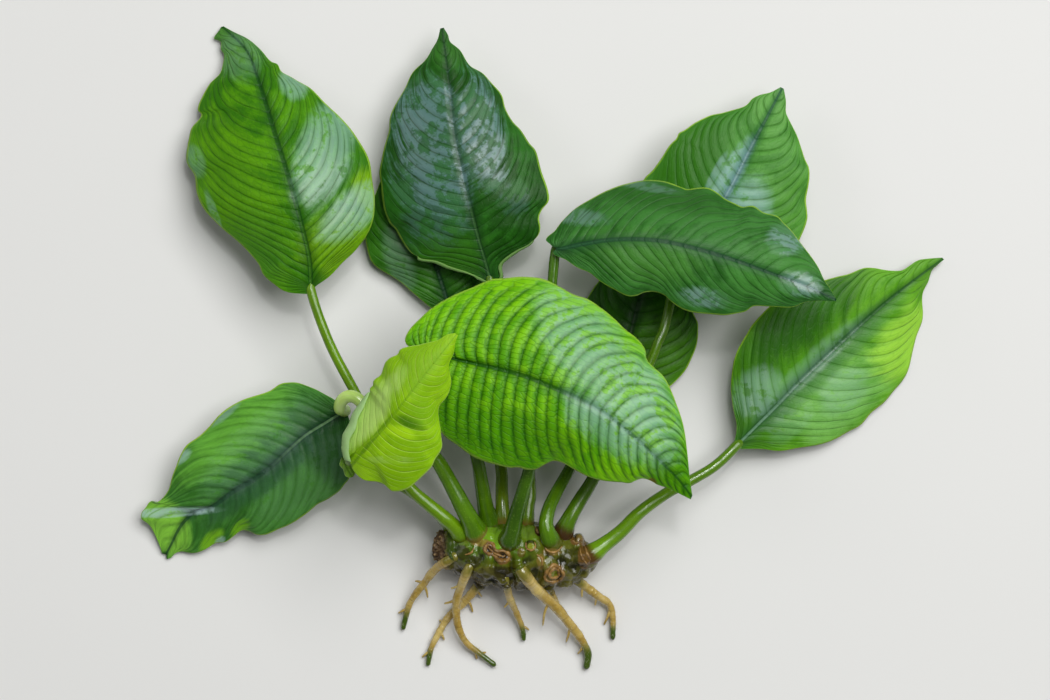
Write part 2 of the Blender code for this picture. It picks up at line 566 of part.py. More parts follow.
def main():
    """Clear the scene and build the plant."""
    for old in list(bpy.data.objects):
        bpy.data.objects.remove(old)
    plant = bpy.data.collections.new(PLANT_NAME)
    cutters = bpy.data.collections.new("cutters")
    bpy.context.scene.collection.children.link(plant)
    bpy.context.scene.collection.children.link(cutters)
    blades = {blade.name: blade for blade in BLADES}
    make_rhizome(blades, plant, cutters)
    for strand in STALKS:
        make_strand(strand, blades, plant, STALK_GREEN, STALK_ROUGHNESS)
    for blade in BLADES:
        make_blade(blade, plant)
    for strand in ROOTS:
        make_strand(strand, blades, plant, ROOT_TAN, ROOT_ROUGHNESS)


main()
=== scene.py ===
"""The looks of a bare-root anubias plant that lies on its back on a pale floor.

Every leaf blade, stalk and root and the rhizome is a fine mesh in the place of its solid. Sizes are in
millimetres until a mesh is made. Plan places are given as an eye sees them from EYE_HEIGHT above
EYE_FOOT, and plan() moves each point in by its height, as the solids do.
"""

import logging
import math
from dataclasses import dataclass
from enum import Enum

import bmesh
import bpy
import numpy as np
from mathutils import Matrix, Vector, noise
from mathutils.bvhtree import BVHTree


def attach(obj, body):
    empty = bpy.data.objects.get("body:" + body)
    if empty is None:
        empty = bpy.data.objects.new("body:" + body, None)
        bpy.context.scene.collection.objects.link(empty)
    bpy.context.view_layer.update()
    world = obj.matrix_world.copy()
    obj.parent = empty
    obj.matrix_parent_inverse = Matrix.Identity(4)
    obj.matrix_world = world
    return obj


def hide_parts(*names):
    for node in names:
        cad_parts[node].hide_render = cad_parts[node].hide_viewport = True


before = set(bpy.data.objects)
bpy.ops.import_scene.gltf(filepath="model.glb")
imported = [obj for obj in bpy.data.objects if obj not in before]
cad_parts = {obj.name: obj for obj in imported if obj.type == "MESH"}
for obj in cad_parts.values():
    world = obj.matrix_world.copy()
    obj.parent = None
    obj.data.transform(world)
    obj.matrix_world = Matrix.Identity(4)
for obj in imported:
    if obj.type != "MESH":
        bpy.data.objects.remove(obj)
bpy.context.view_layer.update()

LOG = logging.getLogger("anubias")
BODY = "root"

# A millimetre in metres, and the other way round.
MM = 0.001
PER_METRE = 1000.0

# The eye over the plant, the box's middle and the camera's view, in millimetres.
EYE_HEIGHT = 900.0
EYE_FOOT = (-3.5, -0.2)
BOX_MIDDLE = (0.1, -0.1)
VIEW_WIDTH = 231.0
SENSOR_WIDTH = 36.0

# How finely curves and blades are drawn.
CURVE_STEPS = 12
LINE_POINTS = 401
ROW_SWEEP = 0.05
LEAF_ROWS = 220
LEAF_COLUMNS = 34
COLUMN_CROWDING = 1.25

# The height at which spots on the rhizome are seen.
RHIZOME_TOP = 12.0

Point = tuple[float, ...]
Line = tuple[Point, ...]
Path = tuple[np.ndarray, np.ndarray]
Colour = tuple[float, float, float]


class Slot(Enum):
    """The material slots of the plant's record."""

    BRIGHT = "leaf_bright"
    DARK = "leaf_dark"
    YOUNG = "leaf_young"
    STALK = "stalk"
    RHIZOME = "rhizome"
    ROOT = "root"


def plan(points: np.ndarray) -> np.ndarray:
    """Move plan points, seen from above, to their real places about the box's middle.

    Args:
        points: rows of x, y, z in millimetres.

    Returns:
        The same rows at their real places.
    """
    foot = np.array(EYE_FOOT)
    nearer = 1.0 - points[..., 2:3] / EYE_HEIGHT
    flat = foot + (points[..., :2] - foot) * nearer - np.array(BOX_MIDDLE)
    return np.concatenate([flat, points[..., 2:3]], axis=-1)


def seen_place(x: float, y: float) -> np.ndarray:
    """Where a spot on top of the rhizome really is across the floor, from where it is seen."""
    return plan(np.array([[x, y, RHIZOME_TOP]]))[0, :2]


def outline(*numbers: int) -> Line:
    """Points of a rib, margin or roll, in thousandths of the length and tenths of a millimetre."""
    return tuple((share / 1000, across / 10) for share, across in zip(numbers[::2], numbers[1::2]))


def course(*numbers: int) -> Line:
    """Points of a stalk's or root's route, with x, y and height in tenths of a millimetre."""
    tenths = [number / 10 for number in numbers]
    return tuple(zip(tenths[::3], tenths[1::3], tenths[2::3]))


def shares(count: int) -> np.ndarray:
    """Even steps from 0 to 1."""
    return np.linspace(0.0, 1.0, count)


def travelled(line: np.ndarray) -> np.ndarray:
    """How far along the line each of its points is."""
    return np.concatenate([[0.0], np.cumsum(np.linalg.norm(np.diff(line, axis=0), axis=1))])


def smooth(points: Line | np.ndarray, count: int) -> np.ndarray:
    """Spread points evenly along a smooth curve through the given ones.

    Args:
        points: the points that the curve passes through.
        count: how many points to return.

    Returns:
        An array of count rows.
    """
    given = np.array([tuple(p) for p in points], float)
    padded = np.vstack([2 * given[0] - given[1], given, 2 * given[-1] - given[-2]])
    steps = np.linspace(0.0, 1.0, CURVE_STEPS, endpoint=False)[:, None]
    fine = []
    for before, here, there, after in zip(padded, padded[1:], padded[2:], padded[3:]):
        slope_here = (there - before) / 2
        slope_there = (after - here) / 2
        a = 2 * (here - there) + slope_here + slope_there
        b = 3 * (there - here) - 2 * slope_here - slope_there
        fine.append(((a * steps + b) * steps + slope_here) * steps + here)
    curve = np.vstack(fine + [given[-1:]])
    along = travelled(curve)
    stations = np.linspace(0.0, along[-1], count)
    return np.column_stack([np.interp(stations, along, column) for column in curve.T])


def eased(values: np.ndarray | float, low: float, high: float) -> np.ndarray:
    """A smooth step from 0 at low to 1 at high."""
    part = np.clip((np.asarray(values, float) - low) / (high - low), 0.0, 1.0)
    return part * part * (3 - 2 * part)


def shade(red: int, green: int, blue: int) -> Colour:
    """The linear colour of display values from 0 to 255."""
    parts = [value / 255.0 for value in (red, green, blue)]
    return tuple(part / 12.92 if part <= 0.04045 else ((part + 0.055) / 1.055) ** 2.4 for part in parts)


def waves(places: np.ndarray, seed: int, pace: float) -> np.ndarray:
    """A gentle irregular wave along a line.

    Args:
        places: where to read the wave, in shares of the line.
        seed: picks the wave.
        pace: about how many swings there are from 0 to 1.

    Returns:
        Heights between about -1 and 1.
    """
    draw = np.random.default_rng(seed)
    total = np.zeros_like(places, dtype=float)
    for octave, weight in ((1.0, 0.6), (1.7, 0.45), (2.9, 0.25)):
        total += weight * np.sin(2 * np.pi * (pace * octave * places + draw.random()))
    return total


def placed(name: str, data: bpy.types.ID) -> bpy.types.Object:
    """A new object in the scene."""
    thing = bpy.data.objects.new(name, data)
    bpy.context.scene.collection.objects.link(thing)
    return thing


def closed(shell: bmesh.types.BMesh, name: str) -> bpy.types.Mesh:
    """A new mesh of what was built in a shell. The shell is freed."""
    mesh = bpy.data.meshes.new(name)
    shell.to_mesh(mesh)
    shell.free()
    return mesh


def baked(holder: bpy.types.Object) -> bpy.types.Mesh:
    """The plain mesh that an object's modifiers make. The object itself is removed."""
    ready = holder.evaluated_get(bpy.context.evaluated_depsgraph_get())
    mesh = bpy.data.meshes.new_from_object(ready)
    mesh.name = holder.name
    bpy.data.objects.remove(holder)
    return mesh


def add_piece(name: str, mesh: bpy.types.Mesh,
              nodes: tuple[str, ...] = ()) -> bpy.types.Object:
    """Link a finished mesh, let it ride on the plant and hide the solids that it replaces.

    Args:
        name: the piece's name.
        mesh: its mesh, in metres and in place.
        nodes: the solids that it replaces.

    Returns:
        The piece's object.
    """
    piece = placed(name, mesh)
    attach(piece, BODY)
    if nodes:
        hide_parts(*nodes)
    LOG.info("%s: %d faces", name, len(mesh.polygons))
    return piece


class Wire:
    """One output of a node, with the arithmetic that adds Math nodes behind it."""

    def __init__(self, board: "Board", socket: bpy.types.NodeSocket) -> None:
        """Wrap a socket of the given board."""
        self.board = board
        self.socket = socket

    def __add__(self, other: "Wire | float") -> "Wire":
        """Sum."""
        return self.board.math("ADD", self, other)

    __radd__ = __add__

    def __sub__(self, other: "Wire | float") -> "Wire":
        """Difference."""
        return self.board.math("SUBTRACT", self, other)

    def __rsub__(self, other: "Wire | float") -> "Wire":
        """Difference from a number."""
        return self.board.math("SUBTRACT", other, self)

    def __mul__(self, other: "Wire | float") -> "Wire":
        """Product."""
        return self.board.math("MULTIPLY", self, other)

    def __truediv__(self, other: "Wire | float") -> "Wire":
        """Quotient."""
        return self.board.math("DIVIDE", self, other)

    def __abs__(self) -> "Wire":
        """Size without sign."""
        return self.board.math("ABSOLUTE", self)

    def fraction(self) -> "Wire":
        """What is left of the value past its whole part."""
        return self.board.math("FRACT", self)

    def step(self, low: float, high: float) -> "Wire":
        """A smooth step from 0 at low to 1 at high; low may be the greater."""
        inputs = {"Value": self, "From Min": low, "From Max": high}
        return self.board.add("ShaderNodeMapRange", {"interpolation_type": "SMOOTHSTEP"}, inputs)

    def axis(self, number: int) -> "Wire":
        """One part of a vector, 0 for x, 1 for y and 2 for z."""
        return self.board.add("ShaderNodeSeparateXYZ", {}, {"Vector": self}, number)


class Board:
    """The nodes of one tree and the calls that add to them."""

    def __init__(self, tree: bpy.types.NodeTree) -> None:
        """Work on the given tree."""
        self.tree = tree

    def feed(self, socket: bpy.types.NodeSocket, value: object) -> None:
        """Link a wire to a socket, or set the socket to a plain value."""
        if isinstance(value, Wire):
            self.tree.links.new(value.socket, socket)
        elif socket.type == "RGBA" and len(value) == 3:
            socket.default_value = (*value, 1.0)
        else:
            socket.default_value = value

    def add(self, kind: str, settings: dict, inputs: dict, output: int | str = 0) -> Wire:
        """Add a node.

        Args:
            kind: the node's type.
            settings: its own settings, which are made first.
            inputs: wires or values by the name or number of the socket.
            output: the name or number of the output to return.

        Returns:
            The chosen output.
        """
        node = self.tree.nodes.new(kind)
        for name, value in settings.items():
            setattr(node, name, value)
        for name, value in inputs.items():
            self.feed(node.inputs[name], value)
        return Wire(self, node.outputs[output])

    def math(self, operation: str, *values: Wire | float) -> Wire:
        """Add a Math node on up to three values."""
        return self.add("ShaderNodeMath", {"operation": operation}, dict(enumerate(values)))

    def vector(self, operation: str, *values: Wire | Point) -> Wire:
        """Add a Vector Math node on up to three vectors."""
        return self.add("ShaderNodeVectorMath", {"operation": operation}, dict(enumerate(values)))

    def point(self, x: Wire | float, y: Wire | float, z: Wire | float = 0.0) -> Wire:
        """Join three values in a vector."""
        return self.add("ShaderNodeCombineXYZ", {}, {"X": x, "Y": y, "Z": z})


class Paint(Board):
    """The nodes of one surface material."""

    cell_spread = 0.75

    def __init__(self, name: str) -> None:
        """Start a material with its plain shader."""
        self.material = bpy.data.materials.new(name)
        self.material.use_nodes = True
        super().__init__(self.material.node_tree)
        self.shader = self.tree.nodes["Principled BSDF"]

    def place(self) -> Wire:
        """The place on the piece in metres."""
        return self.add("ShaderNodeTexCoord", {}, {}, "Object")

    def attribute(self, name: str, output: str = "Vector") -> Wire:
        """A value that the mesh carries."""
        return self.add("ShaderNodeAttribute", {"attribute_name": name}, {}, output)

    def mix(self, first: Wire | Colour, second: Wire | Colour, factor: Wire | float) -> Wire:
        """A colour that goes from first to second as the factor goes from 0 to 1."""
        inputs = {0: factor, 6: first, 7: second}
        return self.add("ShaderNodeMix", {"data_type": "RGBA", "clamp_factor": True}, inputs, 2)

    def layers(self, ground: Wire | Colour, *coats: tuple[Wire | Colour, Wire | float]) -> Wire:
        """Lay colours over a ground one after another, each as far as its factor says."""
        for colour, factor in coats:
            ground = self.mix(ground, colour, factor)
        return ground

    def noise(self, where: Wire, scale: float, detail: float = 2.0, roughness: float = 0.5) -> Wire:
        """Cloudy noise from 0 to 1."""
        inputs = {"Vector": where, "Scale": scale, "Detail": detail, "Roughness": roughness}
        return self.add("ShaderNodeTexNoise", {}, inputs, 0)

    def cells(self, where: Wire, feature: str, output: str) -> Wire:
        """Flat cells about points one unit apart, as their colour or the distance to their edge."""
        settings = {"feature": feature, "voronoi_dimensions": "2D"}
        inputs = {"Vector": where, "Scale": 1.0, "Randomness": self.cell_spread}
        return self.add("ShaderNodeTexVoronoi", settings, inputs, output)

    def bump(self, height: Wire, distance: float) -> Wire:
        """A normal that follows a height in units of distance metres."""
        return self.add("ShaderNodeBump", {}, {"Strength": 1.0, "Distance": distance, "Height": height})

    def finish(self, **values: object) -> bpy.types.Material:
        """Feed the shader's sockets, underscores for spaces, and return the material."""
        for name, value in values.items():
            self.feed(self.shader.inputs[name.replace("_", " ")], value)
        return self.material


@dataclass(frozen=True)
class Zone:
    """A soft oval on a leaf.

    share and offset are its middle: a share of the leaf's length, and millimetres left of its line as
    the camera sees it. along and across are its half sizes in the same units, and lean moves it along
    for each millimetre to the left.
    """

    share: float
    offset: float
    along: float
    across: float
    colour: Colour = (0.0, 0.0, 0.0)
    amount: float = 1.0
    lean: float = 0.0


class LeafPaint(Paint):
    """A paint with the values that every leaf mesh carries."""

    wander_scale = 260.0
    mottle_scale = 190.0
    patch_scale = 60.0
    grain_scale = 750.0
    streak_pace = 1.3
    streak_stretch = 0.11
    patch_pull = 1.8
    streak_pull = 3.0
    mottle_pull = 1.2

    def __init__(self, name: str) -> None:
        """Read the leaf's own coordinates and the noises that its finish shares."""
        super().__init__(name)
        leaf, sheet, seen = (self.attribute(values) for values in ("leaf", "sheet", "seen"))
        self.share, self.offset, self.phase = (leaf.axis(k) for k in range(3))
        self.edge, self.under = sheet.axis(0), sheet.axis(1)
        self.seen_share, self.seen_offset = seen.axis(0), seen.axis(1)
        where = self.place()
        self.wander = self.noise(where, self.wander_scale) - 0.5
        self.mottle = self.noise(where, self.mottle_scale, 4.0, 0.6) - 0.5
        self.patches = self.noise(where, self.patch_scale, 3.0) - 0.5
        self.grain = self.noise(where, self.grain_scale, 3.0, 0.6)
        drawn = self.point(self.phase * self.streak_pace, self.offset * self.streak_stretch,
                           self.patches * 2.0)
        self.streaks = self.noise(drawn, 1.0, 3.0, 0.6) - 0.5
        self.drift = (self.patches * self.patch_pull + self.streaks * self.streak_pull
                      + self.mottle * self.mottle_pull)

    def oval(self, zone: Zone, softness: float, ragged: float) -> Wire:
        """How far inside a zone with a more or less ragged edge a place is, from 0 outside to 1."""
        across = self.seen_offset - zone.offset
        along = (self.seen_share - zone.share - across * zone.lean) * (1.0 / zone.along)
        across = across * (1.0 / zone.across)
        far = along * along + across * across + self.drift * ragged
        return far.step(1.0 + softness, 1.0 - softness) * zone.amount


@dataclass(frozen=True)
class LeafFinish:
    """The colours and the gloss of one leaf blade.

    face and deep are the colours between the veins, and washes are zones of another colour, a few of them
    painted shade and painted light of folds. sheen_zones are where the skin shines: there it gets a coat of
    real gloss and a painted sheen, a pale reflection of the light painted into its colour.
    """

    face: Colour
    deep: Colour
    vein: Colour
    rib: Colour
    rib_line_and_glint: Colour = shade(96, 140, 50)
    margin: Colour = shade(150, 194, 60)
    under: Colour = shade(110, 150, 80)
    # painted sheen: a pale colour painted where the leaf shines, standing in for the reflection of the light
    painted_sheen: Colour = shade(170, 198, 190)
    washes: tuple[Zone, ...] = ()
    sheen_zones: tuple[Zone, ...] = ()
    vein_width: float = 0.11
    vein_strength: float = 0.42
    fine_vein_strength: float = 0.1
    # valley: how much painted shade lies in the valleys along the veins, and how deep they are in the bump
    valley: float = 0.16
    strips: float = 1.4
    cell_strength: float = 0.1
    cell_length: float = 1.3
    cells_across: float = 2.0
    rib_width: float = 0.75
    rib_shadow: float = 0.4
    margin_start: float = 0.976
    rough: float = 0.42
    painted_sheen_amount: float = 0.45
    gloss: float = 0.45
    film_rough: float = 0.3
    film_index: float = 1.8
    sheen_holes: float = 0.42
    sheen_softness: float = 0.6
    sheen_ragged: float = 0.6
    bump_height: float = 0.0002
    wash_edge: float = 0.8
    vein_drift: float = 0.09
    valley_width: float = 0.42
    vein_end: float = 0.8
    fine_vein_share: float = 0.6
    net_line: tuple[float, float] = (0.13, 0.02)
    deep_tones: tuple[float, float] = (0.25, 0.78)
    mark_strength: float = 0.8
    margin_blur: float = 0.01
    hole_blur: float = 0.05

    def veins(self, paint: LeafPaint) -> tuple[Wire, Wire]:
        """The lateral veins and the broad valleys that they lie in, both from 0 to 1."""
        phase = paint.phase + paint.wander * self.vein_drift
        gap = abs((phase + 0.5).fraction() - 0.5)
        half = abs(phase.fraction() - 0.5)
        fade = paint.edge.step(1.0, self.vein_end)
        main = gap.step(self.vein_width, 0.0) * (paint.mottle * 1.5 + 0.8)
        fine = half.step(self.vein_width * self.fine_vein_share, 0.0) * self.fine_vein_strength
        return paint.math("MAXIMUM", main, fine) * fade, gap.step(self.valley_width, 0.0) * fade

    def cells(self, paint: LeafPaint) -> tuple[Wire, Wire]:
        """The lines of the net between the veins, and a tone for each of its cells, from 0 to 1."""
        across = (paint.phase + paint.wander * self.vein_drift) * self.cells_across
        along = paint.offset * (1.0 / self.cell_length) + paint.wander * 0.6
        where = paint.point(across, along)
        line = paint.cells(where, "DISTANCE_TO_EDGE", "Distance").step(*self.net_line)
        return line, paint.cells(where, "F1", "Color").axis(0)

    def tint(self, paint: LeafPaint, veins: tuple[Wire, Wire], cells: tuple[Wire, Wire],
             sheen: Wire) -> Wire:
        """The colour over the whole blade.

        Args:
            paint: the blade's paint.
            veins: the lateral veins and their valleys.
            cells: the lines and the tones of the net.
            sheen: where the coat shines and a pale sheen is painted on the colour.

        Returns:
            The colour.
        """
        lateral, valley = veins
        line, each = cells
        tone = paint.mottle * 1.5 + paint.patches + paint.streaks * self.strips + 0.5
        tone = tone + (each - 0.5) * self.cell_strength
        washes = [(zone.colour, paint.oval(zone, self.wash_edge, self.wash_edge)) for zone in self.washes]
        side = abs(paint.offset)
        near = side / (paint.share.step(1.05, 0.5) * 0.6 + 0.4)
        wide, core, line_width = self.rib_width, self.rib_width * 0.45, self.rib_width * 0.2
        foot = paint.share.step(0.45, 0.05)
        uneven = paint.edge + paint.mottle * 0.02
        outer = uneven.step(self.margin_start, self.margin_start + self.margin_blur)
        return paint.layers(
            self.face,
            (self.deep, tone.step(*self.deep_tones)),
            *washes,
            # painted shade in the broad valleys along the veins; the lines of the net are the blade's own
            # darker net
            (self.vein, valley * self.valley + line * self.cell_strength),
            (self.vein, lateral * self.vein_strength),
            (self.rib, near.step(wide * 3.5, wide) * self.rib_shadow),
            (self.rib, near.step(wide, core) * self.mark_strength),
            # a thin line along the rib near the foot: the rib's own ridge colour, on some blades made paler
            # by a painted highlight
            (self.rib_line_and_glint, side.step(core, line_width) * foot * self.mark_strength),
            # painted sheen: a pale painted reflection where the leaf shines, weaker on the veins and their
            # valleys
            (self.painted_sheen, sheen * (1.0 - lateral * 0.45 - valley * 0.25) * self.painted_sheen_amount),
            (self.margin, outer * (paint.patches * 1.5 + 0.8)),
            (self.under, paint.under))

    def sheen(self, paint: LeafPaint) -> Wire:
        """Where the coat and the painted sheen lie: broken by fine holes and drawn out along the veins."""
        sheen = paint.edge * 0.0
        for zone in self.sheen_zones:
            sheen = paint.math("MAXIMUM", sheen, paint.oval(zone, self.sheen_softness, self.sheen_ragged))
        spots = paint.grain * 0.4 + paint.mottle * 0.7 + paint.streaks * 0.4 + 0.3
        whole = spots.step(self.sheen_holes - self.hole_blur, self.sheen_holes + self.hole_blur)
        return sheen * (whole * 0.75 + 0.25) * (1.0 - paint.under)

    def material(self, name: str) -> bpy.types.Material:
        """Paint the blade by the attributes of its mesh."""
        paint = LeafPaint(name)
        veins, cells, sheen = self.veins(paint), self.cells(paint), self.sheen(paint)
        lines = veins[0] * 0.5 + veins[1] * self.valley + cells[0] * self.cell_strength
        height = (paint.grain * 0.3 - lines) * (1.0 - sheen * 0.4)
        rough = self.rough + paint.mottle * 0.2 + paint.under * 0.15
        return paint.finish(
            Base_Color=self.tint(paint, veins, cells, sheen), Roughness=rough, Coat_Weight=sheen * self.gloss,
            Coat_Roughness=self.film_rough, Coat_IOR=self.film_index, Specular_IOR_Level=0.16,
            Subsurface_Weight=0.08, Subsurface_Radius=(0.5, 1.0, 0.2), Subsurface_Scale=0.0006,
            Normal=paint.bump(height, self.bump_height))


@dataclass(frozen=True)
class VeinFlow:
    """How the lateral veins run on one side of a rib.

    fan is how far on the lowest vein ends, in shares of the length, forward adds to it for the veins
    further up, and bow is how much of that lies near the margin.
    """

    fan: float = 0.28
    forward: float = 0.6
    bow: float = 0.5


@dataclass(frozen=True)
class LeafShape:
    """One leaf blade, drawn about the straight line from its foot to its tip.

    rib, left and right are (share of the length, millimetres to the left of the line), from outline().
    The three height lists are spread evenly from foot to tip. A roll is (share of the margin, width) and
    turns the margin up and over by that width.
    """

    node: str
    foot: Point
    heading: float
    length: float
    rib: Line
    left: Line
    right: Line
    rib_height: Point
    left_height: Point
    right_height: Point
    finish: LeafFinish
    slot: Slot = Slot.BRIGHT
    veins: float = 21.0
    vein_crowding: float = 0.15
    left_flow: VeinFlow = VeinFlow()
    right_flow: VeinFlow = VeinFlow()
    quilt: float = 0.055
    ripple: float = 0.35
    belly: float = 0.07
    rib_depth: float = 0.35
    left_roll: Line = ((0.0, 0.0), (1.0, 0.0))
    right_roll: Line = ((0.0, 0.0), (1.0, 0.0))
    seed: int = 1
    rows: int = LEAF_ROWS
    replaces: bool = True

    def axes(self) -> tuple[np.ndarray, np.ndarray]:
        """The plan vectors of the whole length and of one millimetre to the left."""
        turn = math.radians(self.heading)
        along = np.array([math.cos(turn), math.sin(turn)]) * self.length
        return along, np.array([-math.sin(turn), math.cos(turn)])

    def line(self, drawn: Line, heights: Point, places: np.ndarray) -> np.ndarray:
        """Follow the rib or a margin.

        Args:
            drawn: its points as shares of the length and millimetres to the left.
            heights: its heights, spread evenly from foot to tip.
            places: the shares of its own length to return.

        Returns:
            Real points in millimetres, one for each place.
        """
        along, across = self.axes()
        flat = smooth([np.array(self.foot) + along * s + across * o for s, o in drawn], LINE_POINTS)
        rises = smooth(tuple(zip(shares(len(heights)), heights)), LINE_POINTS)
        x, y = (np.interp(places, shares(LINE_POINTS), column) for column in flat.T)
        return plan(np.column_stack([x, y, np.interp(places, rises[:, 0], rises[:, 1])]))

    def seen(self, points: np.ndarray) -> np.ndarray:
        """Share of the length and offset to the left that the camera sees for real points."""
        along, across = self.axes()
        foot = np.array(EYE_FOOT)
        nearer = 1.0 - points[:, 2:3] / EYE_HEIGHT
        flat = foot + (points[:, :2] + np.array(BOX_MIDDLE) - foot) / nearer - np.array(self.foot)
        return np.column_stack([flat @ along / self.length ** 2, flat @ across, points[:, 2]])


class Leaf:
    """Builds and dresses one leaf blade."""

    thickness = 0.34
    rim_thickness = 0.16
    keel = 0.9
    keel_width = 0.9
    keel_taper = 0.75
    end_share = 0.03
    roll_start = 0.82
    roll_turn = 200.0
    roll_rise = 0.45
    vein_width = 0.12
    vein_depth = 0.55
    vein_height = 0.12
    vein_wander = 0.1
    rib_groove = 0.75
    full_relief_width = 9.0
    low_wave = 0.35
    low_pace = (9.0, 4.0)
    vein_steps = 361
    lowest = 0.05

    def __init__(self, shape: LeafShape) -> None:
        """Take the shape to build."""
        self.shape = shape
        self.share = shares(shape.rows + 1)
        self.reach = shares(LEAF_COLUMNS + 1) ** COLUMN_CROWDING
        self.signed_reach = np.concatenate([-self.reach[:0:-1], self.reach])[None, :]

    def side(self, rib: np.ndarray, drawn: Line, heights: Point, roll: Line) -> np.ndarray:
        """One half of the sheet, from the rib out to a margin.

        Args:
            rib: the rib's points, one for each row.
            drawn: the margin's outline.
            heights: the margin's heights.
            roll: how far the margin is turned over.

        Returns:
            An array of rows, columns and x, y, z.
        """
        margin = self.shape.line(drawn, heights, self.share)
        span = np.linalg.norm(margin - rib, axis=1)[:, None, None]
        reach = self.reach[None, :, None]
        sheet = rib[:, None] + (margin - rib)[:, None] * reach
        sheet[..., 2:] += 4 * reach * (1 - reach) * self.shape.belly * span
        widths = np.interp(self.share, [s for s, _ in roll], [w for _, w in roll])[:, None, None]
        inward = (rib - margin)[:, None] / np.maximum(span, 0.01)
        past = np.clip((reach - self.roll_start) / (1 - self.roll_start), 0.0, 1.0)
        turn = np.radians(-90 + self.roll_turn * past)
        bend = margin[:, None] + inward * widths
        flat_part = rib[:, None] + (bend - rib[:, None]) * np.minimum(reach / self.roll_start, 1.0)
        bent = margin[:, None] + inward * widths * (1 - np.cos(turn))
        bent[..., 2:] += self.roll_rise * widths * (1 + np.sin(turn))
        rolled = np.where(reach < self.roll_start, flat_part, bent)
        return sheet + (rolled - sheet) * eased(widths, 0.0, 0.5)

    def sheet(self) -> tuple[np.ndarray, np.ndarray, np.ndarray, np.ndarray]:
        """The upper surface with its relief.

        Returns:
            The points as rows, columns and x, y, z, where the vein through each leaves the rib, their
            distance from the rib with its sign, and their vein phase.
        """
        shape = self.shape
        swept = self.share - ROW_SWEEP * np.sin(np.pi * self.share)
        rib = shape.line(shape.rib, shape.rib_height, swept)
        right = self.side(rib, shape.right, shape.right_height, shape.right_roll)
        left = self.side(rib, shape.left, shape.left_height, shape.left_roll)
        points = np.concatenate([right[:, :0:-1], left], axis=1)
        reach = self.signed_reach
        share = np.repeat(self.share[:, None], reach.shape[1], axis=1)
        far = np.abs(reach)
        steps = np.linalg.norm(np.diff(points, axis=1), axis=2)
        gone = np.concatenate([np.zeros((len(points), 1)), np.cumsum(steps, axis=1)], axis=1)
        offset = gone - gone[:, LEAF_COLUMNS:LEAF_COLUMNS + 1]
        half = np.abs(offset[:, [0, -1]])
        width = np.where(reach < 0, half[:, :1], half[:, 1:])
        start = self.vein_start(swept[:, None] * (1 - far) + share * far, reach[0])
        phase = shape.veins * start * (1 + shape.vein_crowding * (1 - start))
        phase = phase + self.vein_wander * waves(start, shape.seed + 5, 6.0) * far
        gap = np.abs(phase - np.round(phase))
        room = np.clip(width / self.full_relief_width, 0.0, 1.0) * eased(share, 0.0, 0.06)
        fade = eased(far, 0.02, 0.14) * (1 - 0.85 * eased(far, 0.8, 1.0)) * room
        swell = 0.5 - 0.5 * np.cos(2 * np.pi * gap)
        relief = shape.quilt * (swell - self.vein_depth * np.exp(-(gap / self.vein_width) ** 2)) * fade
        relief = relief - shape.rib_depth * np.exp(-(offset / self.rib_groove) ** 2) * room
        wave = np.where(reach < 0, waves(share, shape.seed, 3.1), waves(share, shape.seed + 1, 2.6))
        relief = relief + shape.ripple * far ** 3 * wave * room
        low = self.low_wave * np.sin(share * self.low_pace[0] + shape.seed)
        low = low * np.sin(reach * self.low_pace[1] + shape.seed * 2) * far * room
        return points + self.normals(points) * (relief + low)[..., None], start, offset, phase

    def vein_start(self, place: np.ndarray, reach: np.ndarray) -> np.ndarray:
        """Where the vein through each point leaves the rib.

        Args:
            place: each point's share of the way along, by row and column.
            reach: each column's reach from the rib, from 0 to 1, negative on the right.

        Returns:
            Shares of the rib, below 0 for the veins that fan out from the blade's foot.
        """
        columns = []
        for k, side in enumerate(reach):
            flow = self.shape.right_flow if side < 0 else self.shape.left_flow
            start = np.linspace(-flow.fan, 1.0, self.vein_steps)
            drawn = (1 - flow.bow) * abs(side) + flow.bow * abs(side) ** 3
            gain = np.where(start < 0, flow.fan + start, (1 - start) * (flow.fan + flow.forward * start))
            columns.append(np.interp(place[:, k], np.maximum(start, 0.0) + gain * drawn, start))
        return np.stack(columns, axis=1)

    @staticmethod
    def normals(points: np.ndarray) -> np.ndarray:
        """Unit normals of a grid, straight up where it closes to a point."""
        across = np.gradient(points, axis=1)
        along = np.gradient(points, axis=0)
        normal = np.cross(across, -along)
        normal = np.where(normal[..., 2:].mean() < 0, -normal, normal)
        length = np.linalg.norm(normal, axis=2, keepdims=True)
        return np.where(length > 1e-4, normal / np.maximum(length, 1e-9), np.array([0.0, 0.0, 1.0]))

    def depth(self, offset: np.ndarray, phase: np.ndarray) -> np.ndarray:
        """How thick the blade is: thin at its rim and its ends, thick along the rib and the veins.

        Args:
            offset: each point's distance from the rib with its sign.
            phase: each point's vein phase.

        Returns:
            A thickness in millimetres for each point.
        """
        share, reach = self.share[:, None], np.abs(self.signed_reach)
        gap = np.abs(phase - np.round(phase))
        taper = 1 - self.keel_taper * share
        depth = self.rim_thickness + (self.thickness - self.rim_thickness) * (1 - reach ** 6)
        depth = depth + self.keel * taper * np.exp(-(offset / (self.keel_width * taper)) ** 2)
        vein = self.vein_height * np.exp(-(gap / self.vein_width) ** 2)
        depth = depth + vein * (1 - eased(reach, 0.6, 1.0))
        ends = eased(share, 0.0, self.end_share) * eased(share, 1.0, 1.0 - self.end_share)
        return self.rim_thickness + (depth - self.rim_thickness) * ends

